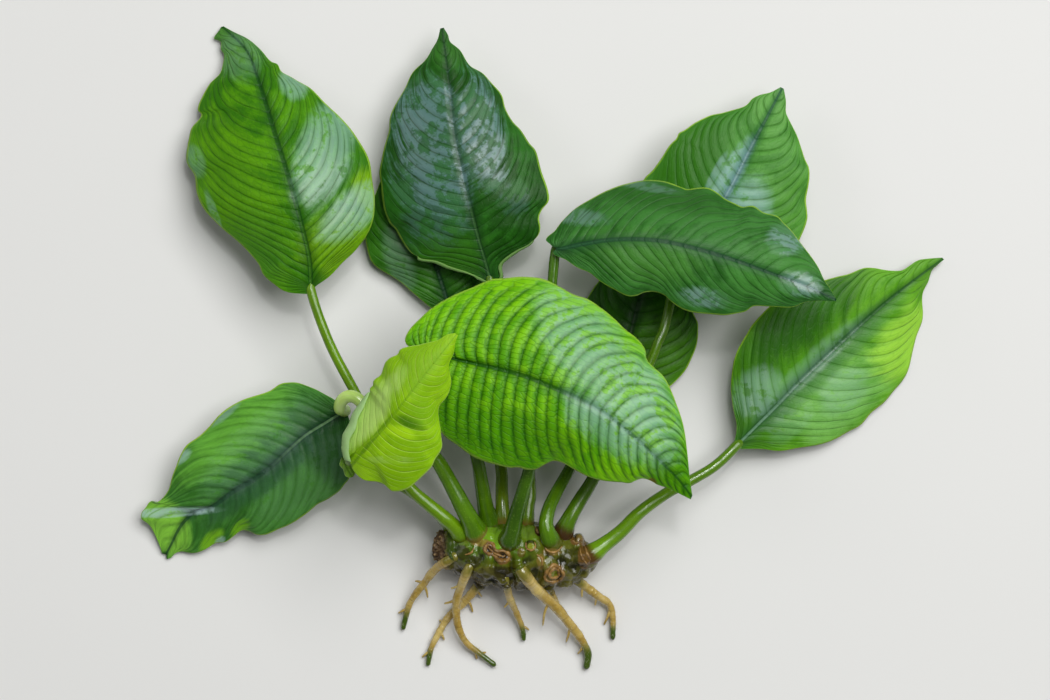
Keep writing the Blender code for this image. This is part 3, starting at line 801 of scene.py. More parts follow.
    @staticmethod
    def faces(rows: int, columns: int) -> np.ndarray:
        """The quads of the upper sheet, of the lower one, whose points follow on, and of the rim."""
        number = np.arange(rows * columns).reshape(rows, columns)
        quads = np.stack([number[:-1, :-1], number[1:, :-1], number[1:, 1:], number[:-1, 1:]], axis=-1)
        quads = quads.reshape(-1, 4)
        around = np.concatenate([number[0, :-1], number[:-1, -1], number[-1, :0:-1], number[:0:-1, 0]])
        following = np.roll(around, -1)
        below = rows * columns
        rim = np.stack([around, following, following + below, around + below], axis=-1)
        return np.concatenate([quads, quads[:, ::-1] + below, rim])

    def build(self) -> None:
        """Make the blade as one closed mesh with its leaf, sheet and seen attributes."""
        shape = self.shape
        upper, start, offset, phase = self.sheet()
        lower = upper - self.normals(upper) * self.depth(offset, phase)[..., None]
        points = np.concatenate([upper.reshape(-1, 3), lower.reshape(-1, 3)])
        points[:, 2] = np.maximum(points[:, 2], self.lowest)
        mesh = bpy.data.meshes.new(shape.node)
        mesh.from_pydata((points * MM).tolist(), [], self.faces(*start.shape).tolist())
        self.orient(mesh)
        mesh.shade_smooth()
        edge = np.repeat(np.abs(self.signed_reach), len(start), axis=0).reshape(-1)
        leaf = np.stack([start, offset, phase], axis=-1).reshape(-1, 3)
        blank = np.zeros_like(edge)
        sheets = [np.column_stack([edge, blank + side, blank]) for side in (0.0, 1.0)]
        self.keep(mesh, "leaf", np.concatenate([leaf, leaf]))
        self.keep(mesh, "sheet", np.concatenate(sheets))
        self.keep(mesh, "seen", shape.seen(points))
        add_piece(shape.node + "_leaf", mesh, (shape.node,) if shape.replaces else ())
        mesh.materials.append(shape.finish.material(shape.node + "_skin"))

    @staticmethod
    def keep(mesh: bpy.types.Mesh, name: str, values: np.ndarray) -> None:
        """Store a vector for each point under a name."""
        mesh.attributes.new(name, "FLOAT_VECTOR", "POINT").data.foreach_set("vector", values.ravel())

    @staticmethod
    def orient(mesh: bpy.types.Mesh) -> None:
        """Turn every face outwards."""
        shell = bmesh.new()
        shell.from_mesh(mesh)
        bmesh.ops.recalc_face_normals(shell, faces=shell.faces)
        shell.to_mesh(mesh)
        shell.free()


@dataclass(frozen=True)
class Stock:
    """The size and the surface of one kind of strand, for the sweep that makes it."""

    sides: int
    lump: float
    lump_size: float
    ring: float
    ring_pitch: float


class Grower:
    """A tree of geometry nodes that makes a mesh, with its named inputs."""

    def __init__(self, name: str, sockets: dict[str, str]) -> None:
        """Start the tree.

        Args:
            name: the tree's name.
            sockets: the kind of every input by its name, the curve or mesh to work on first.
        """
        self.group = bpy.data.node_groups.new(name, "GeometryNodeTree")
        self.board = Board(self.group)
        face = self.group.interface
        self.inputs = {}
        for title, kind in sockets.items():
            socket = face.new_socket(title, in_out="INPUT", socket_type="NodeSocket" + kind)
            self.inputs[title] = socket.identifier
        face.new_socket("Mesh", in_out="OUTPUT", socket_type="NodeSocketGeometry")
        given = self.group.nodes.new("NodeGroupInput")
        self.read = {title: Wire(self.board, given.outputs[title]) for title in sockets}

    def close(self, mesh: Wire) -> None:
        """Make one plain mesh of what was built, give it its material and put it out."""
        mesh = self.board.add("GeometryNodeRealizeInstances", {}, {"Geometry": mesh})
        inputs = {"Geometry": mesh, "Material": self.read["Material"]}
        mesh = self.board.add("GeometryNodeSetMaterial", {}, inputs)
        self.board.feed(self.group.nodes.new("NodeGroupOutput").inputs["Mesh"], mesh)

    def grow(self, name: str, data: bpy.types.ID, values: dict[str, object]) -> bpy.types.Mesh:
        """Run the tree.

        Args:
            name: the new mesh's name.
            data: the curve or mesh to work on.
            values: the tree's other inputs by name.

        Returns:
            The finished mesh, in metres.
        """
        holder = placed(name, data)
        live = holder.modifiers.new(name, "NODES")
        live.node_group = self.group
        for title, value in values.items():
            live[self.inputs[title]] = value
        return baked(holder)


class Sweep(Grower):
    """Sweeps a round section along curves."""

    ring_drift = 9.0
    drift_pace = 0.6

    def __init__(self) -> None:
        """Build the tree: a captured length, a section, its rings and lumps, and the attributes."""
        super().__init__("sweep_along_curve", {
            "Curve": "Geometry", "Sides": "Int", "Lump height": "Float", "Lump size": "Float",
            "Ring height": "Float", "Ring pitch": "Float", "Seed": "Float", "Material": "Material"})
        board, read = self.board, self.read
        length = board.add("GeometryNodeSplineParameter", {}, {}, "Length")
        share = board.add("GeometryNodeSplineParameter", {}, {}, "Factor")
        curve = self.store(self.store(read["Curve"], "length", length), "share", share)
        beat = length / read["Ring pitch"]
        drift = self.cloud(board.point(beat * self.drift_pace, read["Seed"])) * self.ring_drift
        ring = board.math("SINE", beat * (2 * math.pi) + drift)
        radius = board.add("GeometryNodeInputRadius", {}, {}) * (1.0 + ring * read["Ring height"])
        curve = board.add("GeometryNodeSetCurveRadius", {}, {"Curve": curve, "Radius": radius})
        sides = {"Resolution": read["Sides"], "Radius": 1.0}
        circle = board.add("GeometryNodeCurvePrimitiveCircle", {}, sides)
        where = board.add("GeometryNodeInputPosition", {}, {})
        circle = self.store(circle, "section", where, "FLOAT_VECTOR")
        mesh = self.tube(curve, circle)
        shift = board.vector("ADD", where, board.point(read["Seed"], read["Seed"] * 0.7))
        size = board.point(*[read["Lump size"]] * 3)
        lump = (self.cloud(board.vector("DIVIDE", shift, size)) - 0.5) * read["Lump height"]
        outward = board.add("GeometryNodeInputNormal", {}, {})
        push = board.add("ShaderNodeVectorMath", {"operation": "SCALE"}, {0: outward, "Scale": lump})
        mesh = board.add("GeometryNodeSetPosition", {}, {"Geometry": mesh, "Offset": push})
        self.close(board.add("GeometryNodeSetShadeSmooth", {}, {"Geometry": mesh}))

    def tube(self, curve: Wire, circle: Wire) -> Wire:
        """Sweep the section, at the curve's own radius also where that is an input of its own."""
        sweep = self.group.nodes.new("GeometryNodeCurveToMesh")
        inputs = {"Curve": curve, "Profile Curve": circle, "Fill Caps": True}
        if "Scale" in sweep.inputs:
            inputs["Scale"] = self.board.add("GeometryNodeInputRadius", {}, {})
        for name, value in inputs.items():
            self.board.feed(sweep.inputs[name], value)
        return Wire(self.board, sweep.outputs["Mesh"])

    def store(self, geometry: Wire, name: str, value: Wire, kind: str = "FLOAT") -> Wire:
        """Keep a value as a named attribute of the points."""
        settings = {"data_type": kind, "domain": "POINT"}
        inputs = {"Geometry": geometry, "Name": name, "Value": value}
        return self.board.add("GeometryNodeStoreNamedAttribute", settings, inputs)

    def cloud(self, where: Wire) -> Wire:
        """Noise from 0 to 1 at a place."""
        return self.board.add("ShaderNodeTexNoise", {}, {"Vector": where, "Scale": 1.0, "Detail": 2.0}, 0)

    def mesh(self, name: str, paths: list[Path], stock: Stock, material: bpy.types.Material,
             seed: float) -> bpy.types.Mesh:
        """Sweep one or more paths into a single mesh.

        Args:
            name: the mesh's name.
            paths: for each strand its points and its radii, in millimetres.
            stock: the section's sides and the surface's rings and lumps.
            material: what it is made of.
            seed: picks its lumps.

        Returns:
            The finished mesh, in metres.
        """
        curve = bpy.data.curves.new(name, "CURVE")
        curve.dimensions = "3D"
        for points, radii in paths:
            spline = curve.splines.new("POLY")
            spline.points.add(len(points) - 1)
            spline.points.foreach_set("co", np.column_stack([points * MM, np.ones(len(points))]).ravel())
            spline.points.foreach_set("radius", np.asarray(radii, float) * MM)
        return self.grow(name, curve, {
            "Sides": stock.sides, "Lump height": stock.lump * MM, "Lump size": stock.lump_size * MM,
            "Ring height": stock.ring, "Ring pitch": stock.ring_pitch * MM, "Seed": seed,
            "Material": material})


@dataclass(frozen=True)
class StalkFinish:
    """The colours of a leaf stalk from its base up to the blade."""

    low: Colour
    high: Colour
    shade: Colour
    base: Colour
    base_length: float
    change: tuple[float, float] = (0.0, 0.8)
    calm: float = 0.0
    speck: Colour = shade(140, 180, 70)
    streak_pace: float = 90.0
    cloud_scale: float = 180.0
    speck_scale: float = 2600.0
    base_blur: float = 0.8
    speck_tones: tuple[float, float] = (0.62, 0.72)
    bump_height: float = 0.00004

    def material(self, name: str, buried: float) -> bpy.types.Material:
        """Paint fine streaks along the stalk and its darker or browner base, buried millimetres up it."""
        paint = Paint(name)
        share = paint.attribute("share", "Fac")
        length = paint.attribute("length", "Fac")
        section = paint.attribute("section")
        where = paint.place()
        streak = paint.point(section.axis(0) * 5.0, section.axis(1) * 5.0, length * self.streak_pace)
        fine = paint.noise(streak, 1.0, 3.0, 0.6)
        cloud = paint.noise(where, self.cloud_scale, 3.0)
        specks = paint.noise(where, self.speck_scale, 1.0)
        upper = share.step(*self.change)
        marked = 1.0 - upper * self.calm
        foot = length * PER_METRE - buried + (fine - 0.5) * 1.8 + (cloud - 0.5) * 1.5
        colour = paint.layers(
            self.low,
            (self.high, upper),
            (self.shade, (fine * 0.6 + cloud * 0.6).step(0.4, 0.85) * 0.75 * marked),
            (self.speck, specks.step(*self.speck_tones) * marked * 0.25),
            (self.base, foot.step(self.base_length + self.base_blur, self.base_length - self.base_blur)))
        return paint.finish(
            Base_Color=colour, Roughness=0.12 + cloud * 0.12, Specular_IOR_Level=0.5, Subsurface_Weight=0.12,
            Subsurface_Radius=(0.6, 1.0, 0.2), Subsurface_Scale=0.001,
            Normal=paint.bump(fine + specks * 0.3, self.bump_height))


@dataclass(frozen=True)
class RootFinish:
    """The tan of the roots, their green tips and their fine rings."""

    tan: Colour = shade(170, 142, 62)
    pale: Colour = shade(200, 178, 106)
    brown: Colour = shade(98, 70, 20)
    base: Colour = shade(96, 98, 18)
    tip: Colour = shade(60, 84, 0)
    base_length: float = 3.0
    tip_start: float = 0.8
    cloud_scale: float = 420.0
    broad_scale: float = 130.0
    ring_pace: float = 2100.0
    ring_tones: tuple[float, float] = (0.52, 0.72)
    pale_tones: tuple[float, float] = (0.38, 0.64)
    brown_tones: tuple[float, float] = (0.44, 0.3)
    bump_height: float = 0.00007

    def material(self, name: str, buried: float = 0.0) -> bpy.types.Material:
        """Paint rings across the root, a greener base buried millimetres up it, and a green tip."""
        paint = Paint(name)
        share = paint.attribute("share", "Fac")
        length = paint.attribute("length", "Fac")
        where = paint.place()
        cloud = paint.noise(where, self.cloud_scale, 4.0, 0.6)
        broad = paint.noise(where, self.broad_scale, 2.0)
        rings = paint.noise(paint.point(length * self.ring_pace, cloud * 2.2), 1.0, 2.0, 0.6)
        foot = length * PER_METRE - buried + (cloud - 0.5) * 5.0
        green = (share + (cloud - 0.5) * 0.1).step(self.tip_start - 0.04, self.tip_start + 0.1)
        colour = paint.layers(
            self.tan,
            (self.pale, (cloud * 0.5 + broad * 0.5).step(*self.pale_tones)),
            (self.brown, rings.step(*self.ring_tones) * 0.55),
            (self.brown, (cloud * 0.6 + broad * 0.4).step(*self.brown_tones) * 0.5),
            (self.base, foot.step(self.base_length, 0.0) * 0.85),
            (self.tip, green))
        return paint.finish(
            Base_Color=colour, Roughness=0.08 + cloud * 0.14, Specular_IOR_Level=0.8, Subsurface_Weight=0.1,
            Subsurface_Radius=(1.0, 0.6, 0.3), Subsurface_Scale=0.0008,
            Normal=paint.bump(rings + cloud * 0.5, self.bump_height))


@dataclass(frozen=True)
class Stain:
    """A soft oval of another colour on the rhizome, placed as seen from above."""

    x: float
    y: float
    half_width: float
    half_depth: float
    colour: Colour
    amount: float = 1.0


@dataclass(frozen=True)
class RhizomeFinish:
    """The knobbly stem: green above, olive and brown below, partly as painted shade, cork at its cut end."""

    green: Colour = shade(76, 104, 8)
    olive: Colour = shade(84, 82, 16)
    under: Colour = shade(46, 38, 8)
    pale: Colour = shade(140, 138, 62)
    crease_shade: Colour = shade(18, 20, 2)
    cork: Colour = shade(158, 132, 86)
    cork_dark: Colour = shade(82, 60, 32)
    cork_end: float = -20.9
    cloud_scale: float = 170.0
    fine_scale: float = 800.0
    broad_scale: float = 75.0
    olive_light: tuple[float, float] = (-48.5, -44.0)
    green_light: tuple[float, float] = (-44.5, -40.0)
    olive_reach: tuple[float, float] = (-7.0, 3.0)
    stain_edge: tuple[float, float] = (1.25, 0.75)
    stain_heights: tuple[float, float] = (4.0, 6.0)
    ridge_push: tuple[float, float] = (0.6, 1.6)
    crease_shade_push: tuple[float, float] = (-0.2, -1.1)
    bump_height: float = 0.00025
    stains: tuple[Stain, ...] = (
        # the first and the third stain: brighter green about the stalks' feet, the stem's fresh green with a
        # painted highlight where it shines
        Stain(-10.5, -41.6, 2.8, 2.4, shade(122, 170, 34), 0.8),
        Stain(7.6, -46.8, 3.4, 3.2, shade(46, 48, 8), 0.75),
        Stain(-2.0, -40.6, 2.4, 1.6, shade(96, 130, 30), 0.6),
        Stain(-11.4, -43.8, 1.4, 1.6, shade(110, 78, 36)), Stain(-8.4, -45.6, 1.9, 1.6, shade(116, 82, 38)),
        Stain(-11.3, -43.9, 0.45, 0.8, shade(66, 42, 18)), Stain(-8.6, -45.4, 0.8, 0.45, shade(72, 46, 20)),
        Stain(3.0, -49.5, 2.3, 2.3, shade(96, 72, 26)), Stain(3.0, -49.5, 1.6, 1.6, shade(54, 40, 12)),
        Stain(3.0, -49.5, 1.0, 1.0, shade(96, 108, 20)), Stain(-2.3, -43.1, 1.3, 1.2, shade(40, 46, 4)),
        Stain(-2.2, -43.3, 0.8, 0.7, shade(122, 134, 12)),
        Stain(-4.3, -44.6, 0.9, 1.0, shade(96, 80, 26), 0.8),
        Stain(-0.4, -39.8, 1.0, 1.3, shade(58, 38, 16)), Stain(8.2, -42.1, 1.6, 1.2, shade(100, 72, 30)),
        Stain(9.6, -45.6, 1.5, 2.9, shade(104, 74, 30), 0.9),
        Stain(0.0, -46.6, 0.9, 1.8, shade(132, 104, 46), 0.6),
        Stain(-13.2, -42.6, 2.2, 0.8, shade(142, 118, 54), 0.8),
        Stain(-9.0, -49.4, 5.5, 1.6, shade(28, 24, 4), 0.7),
        Stain(2.4, -44.6, 2.0, 0.8, shade(134, 106, 50), 0.6),
        Stain(-4.2, -49.2, 1.9, 1.4, shade(86, 102, 10), 0.7),
        Stain(4.6, -38.8, 1.8, 1.4, shade(54, 38, 16), 0.8),
        Stain(-17.4, -44.8, 1.7, 1.7, shade(44, 40, 6), 0.8),
        Stain(-14.9, -46.8, 1.8, 1.4, shade(44, 40, 6), 0.8),
        Stain(-8.4, -49.4, 1.6, 1.2, shade(44, 40, 6), 0.8),
        Stain(-19.6, -43.2, 1.6, 3.2, shade(36, 52, 4), 0.7))

    def material(self, name: str) -> bpy.types.Material:
        """Paint the stem by its place, its height and its creases."""
        paint = Paint(name)
        where = paint.place()
        x, y, z = (where.axis(k) * PER_METRE for k in range(3))
        push = paint.attribute("push", "Fac")
        cloud = paint.noise(where, self.cloud_scale, 4.0, 0.6)
        fine = paint.noise(where, self.fine_scale, 4.0, 0.65)
        broad = paint.noise(where, self.broad_scale, 2.0)
        # darker low down and towards -y, greener higher up: partly the stem's own olive and brown underside,
        # partly painted shade on the side away from the light
        light = y + z * 0.3 + (cloud - 0.5) * 9.0
        stains = []
        for stain in self.stains:
            middle = seen_place(stain.x, stain.y)
            across = (x - float(middle[0])) * (1.0 / stain.half_width)
            down = (y - float(middle[1])) * (1.0 / stain.half_depth)
            far = across * across + down * down + (fine - 0.5) * 1.6
            inside = far.step(*self.stain_edge) * z.step(*self.stain_heights)
            stains.append((stain.colour, inside * stain.amount))
        cork = (x + (cloud - 0.5) * 4.0).step(self.cork_end + 0.8, self.cork_end - 0.6)
        dry = paint.mix(self.cork_dark, self.cork, (fine + push * 0.15).step(0.46, 0.68))
        colour = paint.layers(
            self.under,
            (self.olive, light.step(*self.olive_light)),
            (self.green, light.step(*self.green_light)),
            (self.olive, (x + (broad - 0.5) * 16.0).step(*self.olive_reach) * 0.75),
            (self.pale, (fine * 0.5 + cloud * 0.5).step(0.55, 0.68) * 0.3),
            *stains,
            (self.pale, (push + (fine - 0.5)).step(*self.ridge_push) * 0.25),
            # painted shade in the pits and creases of the skin
            (self.crease_shade, (push + (fine - 0.5) * 0.4).step(*self.crease_shade_push) * 0.85),
            (dry, cork))
        return paint.finish(
            Base_Color=colour, Roughness=0.08 + fine * 0.14 + cork * 0.5, Specular_IOR_Level=0.5,
            Subsurface_Weight=0.05, Subsurface_Radius=(0.5, 0.8, 0.2), Subsurface_Scale=0.001,
            Normal=paint.bump(fine * 0.5 + cloud, self.bump_height))


@dataclass(frozen=True)
class ScarFinish:
    """Dry brown tissue: old sheaths, scar rims and scales."""

    light: Colour = shade(158, 122, 64)
    dark: Colour = shade(84, 58, 22)
    rough: float = 0.4
    fine_scale: float = 900.0
    cloud_scale: float = 260.0
    light_tones: tuple[float, float] = (0.4, 0.75)
    bump_height: float = 0.00012

    def material(self, name: str) -> bpy.types.Material:
        """Paint dry fibres with darker creases."""
        paint = Paint(name)
        where = paint.place()
        fine = paint.noise(where, self.fine_scale, 4.0, 0.65)
        cloud = paint.noise(where, self.cloud_scale, 2.0)
        colour = paint.mix(self.dark, self.light, (fine * 0.7 + cloud * 0.5).step(*self.light_tones))
        return paint.finish(
            Base_Color=colour, Roughness=self.rough, Specular_IOR_Level=0.45,
            Normal=paint.bump(fine + cloud, self.bump_height))


@dataclass(frozen=True)
class HairFinish:
    """Pale, thin hairs."""

    colour: Colour = (0.62, 0.60, 0.42)
    dark: Colour = (0.34, 0.33, 0.16)
    cloud_scale: float = 500.0

    def material(self, name: str) -> bpy.types.Material:
        """Paint the hairs with a little cloudiness."""
        paint = Paint(name)
        cloud = paint.noise(paint.place(), self.cloud_scale)
        colour = paint.mix(self.colour, self.dark, cloud.step(0.4, 0.7))
        return paint.finish(Base_Color=colour, Roughness=0.6, Specular_IOR_Level=0.3)


@dataclass(frozen=True)
class FloorFinish:
    """A plain pale floor."""

    colour: Colour = (0.74, 0.74, 0.72)
    darker: float = 0.97
    cloud_scale: float = 9.0

    def material(self, name: str) -> bpy.types.Material:
        """Paint the floor with a faint cloudiness."""
        paint = Paint(name)
        cloud = paint.noise(paint.place(), self.cloud_scale)
        colour = paint.mix(self.colour, tuple(part * self.darker for part in self.colour), cloud)
        return paint.finish(Base_Color=colour, Roughness=0.85, Specular_IOR_Level=0.15)


class Hairs(Grower):
    """Sets fine hairs on the young end of a root."""

    lean = 0.7
    sizes = (0.3, 1.2)
    thickness = 0.022
    start = 0.35
    density = 4.0
    length = 0.9

    def __init__(self) -> None:
        """Build the tree: scattered points, a thin cone on each, and how far it leans."""
        super().__init__("root_hairs", {
            "Mesh": "Geometry", "Density": "Float", "From": "Float", "Length": "Float",
            "Thickness": "Float", "Seed": "Int", "Material": "Material"})
        board, read = self.board, self.read
        share = board.add("GeometryNodeInputNamedAttribute", {"data_type": "FLOAT"}, {"Name": "share"})
        settings = {"data_type": "FLOAT", "operation": "GREATER_THAN"}
        young = board.add("FunctionNodeCompare", settings, {0: share, 1: read["From"]})
        scatter = self.group.nodes.new("GeometryNodeDistributePointsOnFaces")
        for name, value in (("Mesh", read["Mesh"]), ("Selection", young), ("Density", read["Density"]),
                            ("Seed", read["Seed"])):
            board.feed(scatter.inputs[name], value)
        hair = board.add("GeometryNodeMeshCone", {}, {
            "Vertices": 3, "Radius Bottom": read["Thickness"], "Radius Top": 0.0, "Depth": read["Length"]})
        lean = board.add("FunctionNodeRandomValue", {"data_type": "FLOAT_VECTOR"}, {
            0: (-self.lean,) * 3, 1: (self.lean,) * 3, "Seed": read["Seed"]})
        outward = board.vector("ADD", Wire(board, scatter.outputs["Normal"]), lean)
        turn = board.add("FunctionNodeAlignRotationToVector", {"axis": "Z"}, {"Vector": outward})
        size = board.add("FunctionNodeRandomValue", {"data_type": "FLOAT"}, {
            2: self.sizes[0], 3: self.sizes[1], "Seed": read["Seed"]}, 1)
        self.close(board.add("GeometryNodeInstanceOnPoints", {}, {
            "Points": Wire(board, scatter.outputs["Points"]), "Instance": hair, "Rotation": turn,
            "Scale": size}))

    def mesh(self, skin: bpy.types.Mesh, material: bpy.types.Material, seed: int) -> bpy.types.Mesh:
        """Grow hairs on a root's mesh, by its share attribute, and return the hairs alone."""
        return self.grow("hairs", skin.copy(), {
            "Density": self.density / MM ** 2, "From": self.start, "Length": self.length * MM,
            "Thickness": self.thickness * MM, "Seed": seed, "Material": material})


@dataclass(frozen=True)
class StrandShape:
    """A stalk or a root: its route in plan millimetres and height, and its radius at its base."""

    node: str
    route: Line
    radius: float
    blade: str = ""
    drop: float = 0.35
    finish: StalkFinish | None = None
    waist: float = 1.05
    seed: int = 1


class Strand:
    """Works out the line and the radii of one stalk or root."""

    points = 140
    tuck = 4.0
    taper_reach = 15.0
    skirt_reach = 2.0
    skirt_share = 0.35
    tucked_share = 0.45
    root_tip_share = 0.5
    root_wobble = 0.06
    root_tip_round = 1.4
    root_clearance = 0.12

    def __init__(self, shape: StrandShape) -> None:
        """Take the shape to build."""
        self.shape = shape

    def stalk(self, leaf: LeafShape) -> np.ndarray:
        """The stalk's line, on under the foot of its blade."""
        shape = self.shape
        route = plan(np.array(shape.route))
        under = np.array([0.0, 0.45, 1.0]) * self.tuck / leaf.length
        rib = leaf.line(leaf.rib, leaf.rib_height, under)
        rib[0, 2] -= shape.drop
        rib[1:, 2] -= shape.waist
        return smooth(np.vstack([route, rib]), self.points)

    def stalk_radii(self, line: np.ndarray, buried: float) -> np.ndarray:
        """The stalk's radii: flared where it leaves the rhizome and thin under the blade.

        Args:
            line: the stalk's line.
            buried: the length of it that lies in the rhizome.

        Returns:
            A radius for each point.
        """
        shape = self.shape
        along = travelled(line)
        past = np.maximum(along - buried, 0.0)
        flare = (1 - self.skirt_share) * np.exp(-past / self.taper_reach)
        flare += self.skirt_share * np.exp(-(past / self.skirt_reach) ** 2)
        radii = shape.waist + (shape.radius - shape.waist) * flare
        thin = self.tucked_share
        return radii * (thin + (1 - thin) * eased(along[-1] - along, 0.0, self.tuck))

    def root(self) -> Path:
        """The root's line and its radii, rounded at the tip and never below the floor."""
        shape = self.shape
        line = smooth(plan(np.array(shape.route)), self.points)
        share = shares(self.points)
        wobble = 1 + self.root_wobble * waves(share, shape.seed, 5.0)
        radii = shape.radius * (1 - (1 - self.root_tip_share) * share) * wobble
        left = (1 - share) * np.linalg.norm(np.diff(line, axis=0), axis=1).sum()
        end = shape.radius * self.root_tip_share * self.root_tip_round
        radii = radii * np.sqrt(np.clip(1 - (1 - np.clip(left / end, 0.02, 1.0)) ** 2, 0.0, 1.0))
        line[:, 2] = np.maximum(line[:, 2], radii + self.root_clearance)
        return line, radii


@dataclass(frozen=True)
class Mark:
    """A bump or, where its height is negative, a pit of the rhizome, placed as seen from above."""

    x: float
    y: float
    radius: float
    height: float


class Rhizome:
    """Builds and dresses the creeping stem with its collars, bumps, scars and sheaths."""

    stations = ((-23.4, -42.8, 5.4, 2.7), (-20.2, -43.6, 5.8, 4.5), (-14.1, -44.5, 6.4, 6.1),
                (-9.0, -45.1, 6.9, 7.2), (-2.4, -45.3, 6.9, 7.2), (4.2, -46.0, 6.5, 6.3),
                (9.7, -46.0, 6.3, 3.9), (12.4, -46.0, 6.3, 1.7))
    marks = tuple(Mark(*row) for row in (
        (-4.3, -44.6, 1.0, 0.7), (-4.2, -44.4, 0.35, -0.6), (-2.2, -43.3, 1.2, 0.9),
        (-2.2, -43.3, 0.45, -0.5), (3.0, -49.5, 2.6, 1.1), (3.0, -49.5, 1.0, -0.6),
        (-11.3, -44.0, 0.9, -0.5), (-8.4, -45.6, 1.2, -0.5), (8.2, -42.1, 1.1, 1.3),
        (-0.4, -39.8, 1.1, 0.7), (-17.6, -47.2, 1.2, -0.4), (-14.0, -48.9, 1.2, 0.5),
        (0.0, -46.6, 1.3, 0.6), (1.6, -46.9, 0.8, -0.5), (-6.6, -48.0, 1.4, -0.5),
        (-11.4, -47.8, 1.3, 0.5), (-13.3, -45.6, 1.2, -0.5), (6.6, -46.4, 1.2, 0.5),
        (7.4, -48.8, 1.0, -0.5), (-1.6, -48.2, 1.0, -0.4), (-19.5, -42.6, 1.4, 0.5)))
    nodes = ((0.06, 0.5), (0.16, 0.8), (0.27, 1.0), (0.37, 0.7), (0.47, 1.0), (0.55, 0.8), (0.65, 1.0),
             (0.745, 0.8), (0.83, 1.0), (0.9, 0.8))
    node_groove = 0.075
    node_width = 0.011
    node_swell = 0.035
    slants = ((0.012, 1, 9), (0.006, 3, 20))
    voxel = 0.25
    softening = 3
    softening_share = 0.5
    lump_size = 2.3
    lump_height = 0.55
    grain_size = 0.8
    grain_height = 0.1
    cork_size = 0.5
    cork_height = 0.9
    cork_shrink = 0.3
    cork_end = -21.0
    underside = (-47.0, -53.0)
    underside_lean = 0.4
    mark_sharpness = 1.5
    mark_floor = 6.0
    lowest = 0.03
    push_scale = 0.35
    sides = 72
    length_steps = 150
    stalk_cuffs = ((-2.0, 1.2, 2.0), (-0.6, 1.1, 1.2))
    root_cuffs = ((-1.4, 1.3, 1.2), (-0.3, 1.3, 0.35))
    cuff_sides = 24
    cuff_taper = 0.12

    def core(self) -> Path:
        """The middle line of the tube and its radii."""
        line = smooth(self.stations, self.length_steps)
        return plan(line[:, :3]), line[:, 3]

    def tube(self, shell: bmesh.types.BMesh) -> None:
        """Add the ringed tube, closed at both ends."""
        middle, radius = self.core()
        share = shares(len(middle))[:, None]
        angles = np.linspace(0.0, 2 * np.pi, self.sides, endpoint=False)[None, :]
        slant = share
        for height, turns, pace in self.slants:
            slant = slant + height * np.sin(turns * angles + pace * share)
        size = np.ones_like(slant)
        for (near, depth), (far, _) in zip(self.nodes, self.nodes[1:] + ((1.0, 0.0),)):
            size -= self.node_groove * depth * np.exp(-((slant - near) / self.node_width) ** 2)
            size += self.node_swell * np.sin(np.pi * np.clip((slant - near) / (far - near), 0.0, 1.0))
        forward = np.gradient(middle, axis=0)
        forward /= np.linalg.norm(forward, axis=1, keepdims=True)
        side = np.cross(forward, (0.0, 0.0, 1.0))
        side /= np.linalg.norm(side, axis=1, keepdims=True)
        top = np.cross(side, forward)
        turned = np.cos(angles)[..., None] * side[:, None] + np.sin(angles)[..., None] * top[:, None]
        points = middle[:, None] + (radius[:, None] * size)[..., None] * turned
        rings = [[shell.verts.new(point) for point in ring] for ring in points]
        for near, far in zip(rings, rings[1:]):
            for k in range(self.sides):
                shell.faces.new((near[k - 1], near[k], far[k], far[k - 1]))
        shell.faces.new(rings[0])
        shell.faces.new(rings[-1])

    def collar(self, shell: bmesh.types.BMesh, strand: Path, cuffs: Line) -> None:
        """Add flared cuffs about the place where a stalk or a root leaves the tube.

        Args:
            shell: the mesh to add to.
            strand: the stalk's or root's line and radii.
            cuffs: for each cuff how far past that place it is, its width in radii and its length.
        """
        line, radii = strand
        along = travelled(line)
        start = self.leaving(line)
        for past, wide, reach in cuffs:
            place = int(np.interp(along[start] + past, along, np.arange(len(line))))
            here, there = line[place], line[min(place + 2, len(line) - 1)]
            turn = Vector(there - here).normalized().to_track_quat("Z", "Y").to_matrix().to_4x4()
            turn.translation = Vector(here)
            bmesh.ops.create_cone(
                shell, cap_ends=True, segments=self.cuff_sides, radius1=radii[start] * wide,
                radius2=radii[start] * (wide - self.cuff_taper), depth=reach, matrix=turn)

    def leaving(self, line: np.ndarray) -> int:
        """The first point of a strand that is clear of the tube."""
        middle, radius = self.core()
        gaps = np.linalg.norm(line[:, None] - middle[None], axis=2) - radius
        clear = np.nonzero(gaps.min(axis=1) > 0.0)[0]
        return int(clear[0]) if len(clear) else 0

    def build(self, stalks: list[Path], roots: list[Path]) -> bpy.types.Object:
        """Join the tube and its collars into one skin, and give it its lumps, bumps and pits.

        Args:
            stalks: the line and the radii of every stalk.
            roots: the same for every root.

        Returns:
            The rhizome's object.
        """
        shell = bmesh.new()
        self.tube(shell)
        for strands, cuffs in ((stalks, self.stalk_cuffs), (roots, self.root_cuffs)):
            for strand in strands:
                self.collar(shell, strand, cuffs)
        bmesh.ops.recalc_face_normals(shell, faces=shell.faces)
        holder = placed("rhizome_rough", closed(shell, "rhizome_rough"))
        skin = holder.modifiers.new("skin", "REMESH")
        skin.mode = "VOXEL"
        skin.voxel_size = self.voxel
        soft = holder.modifiers.new("soft", "SMOOTH")
        soft.factor = self.softening_share
        soft.iterations = self.softening
        mesh = baked(holder)
        self.carve(mesh)
        mesh.shade_smooth()
        piece = add_piece("rhizome_skin", mesh, ("rhizome",))
        mesh.materials.clear()
        mesh.materials.append(RhizomeFinish().material("rhizome_skin"))
        return piece

    @staticmethod
    def field(points: np.ndarray, size: float) -> np.ndarray:
        """Noise of one size at each point."""
        return np.array([noise.noise(Vector(p / size)) for p in points])

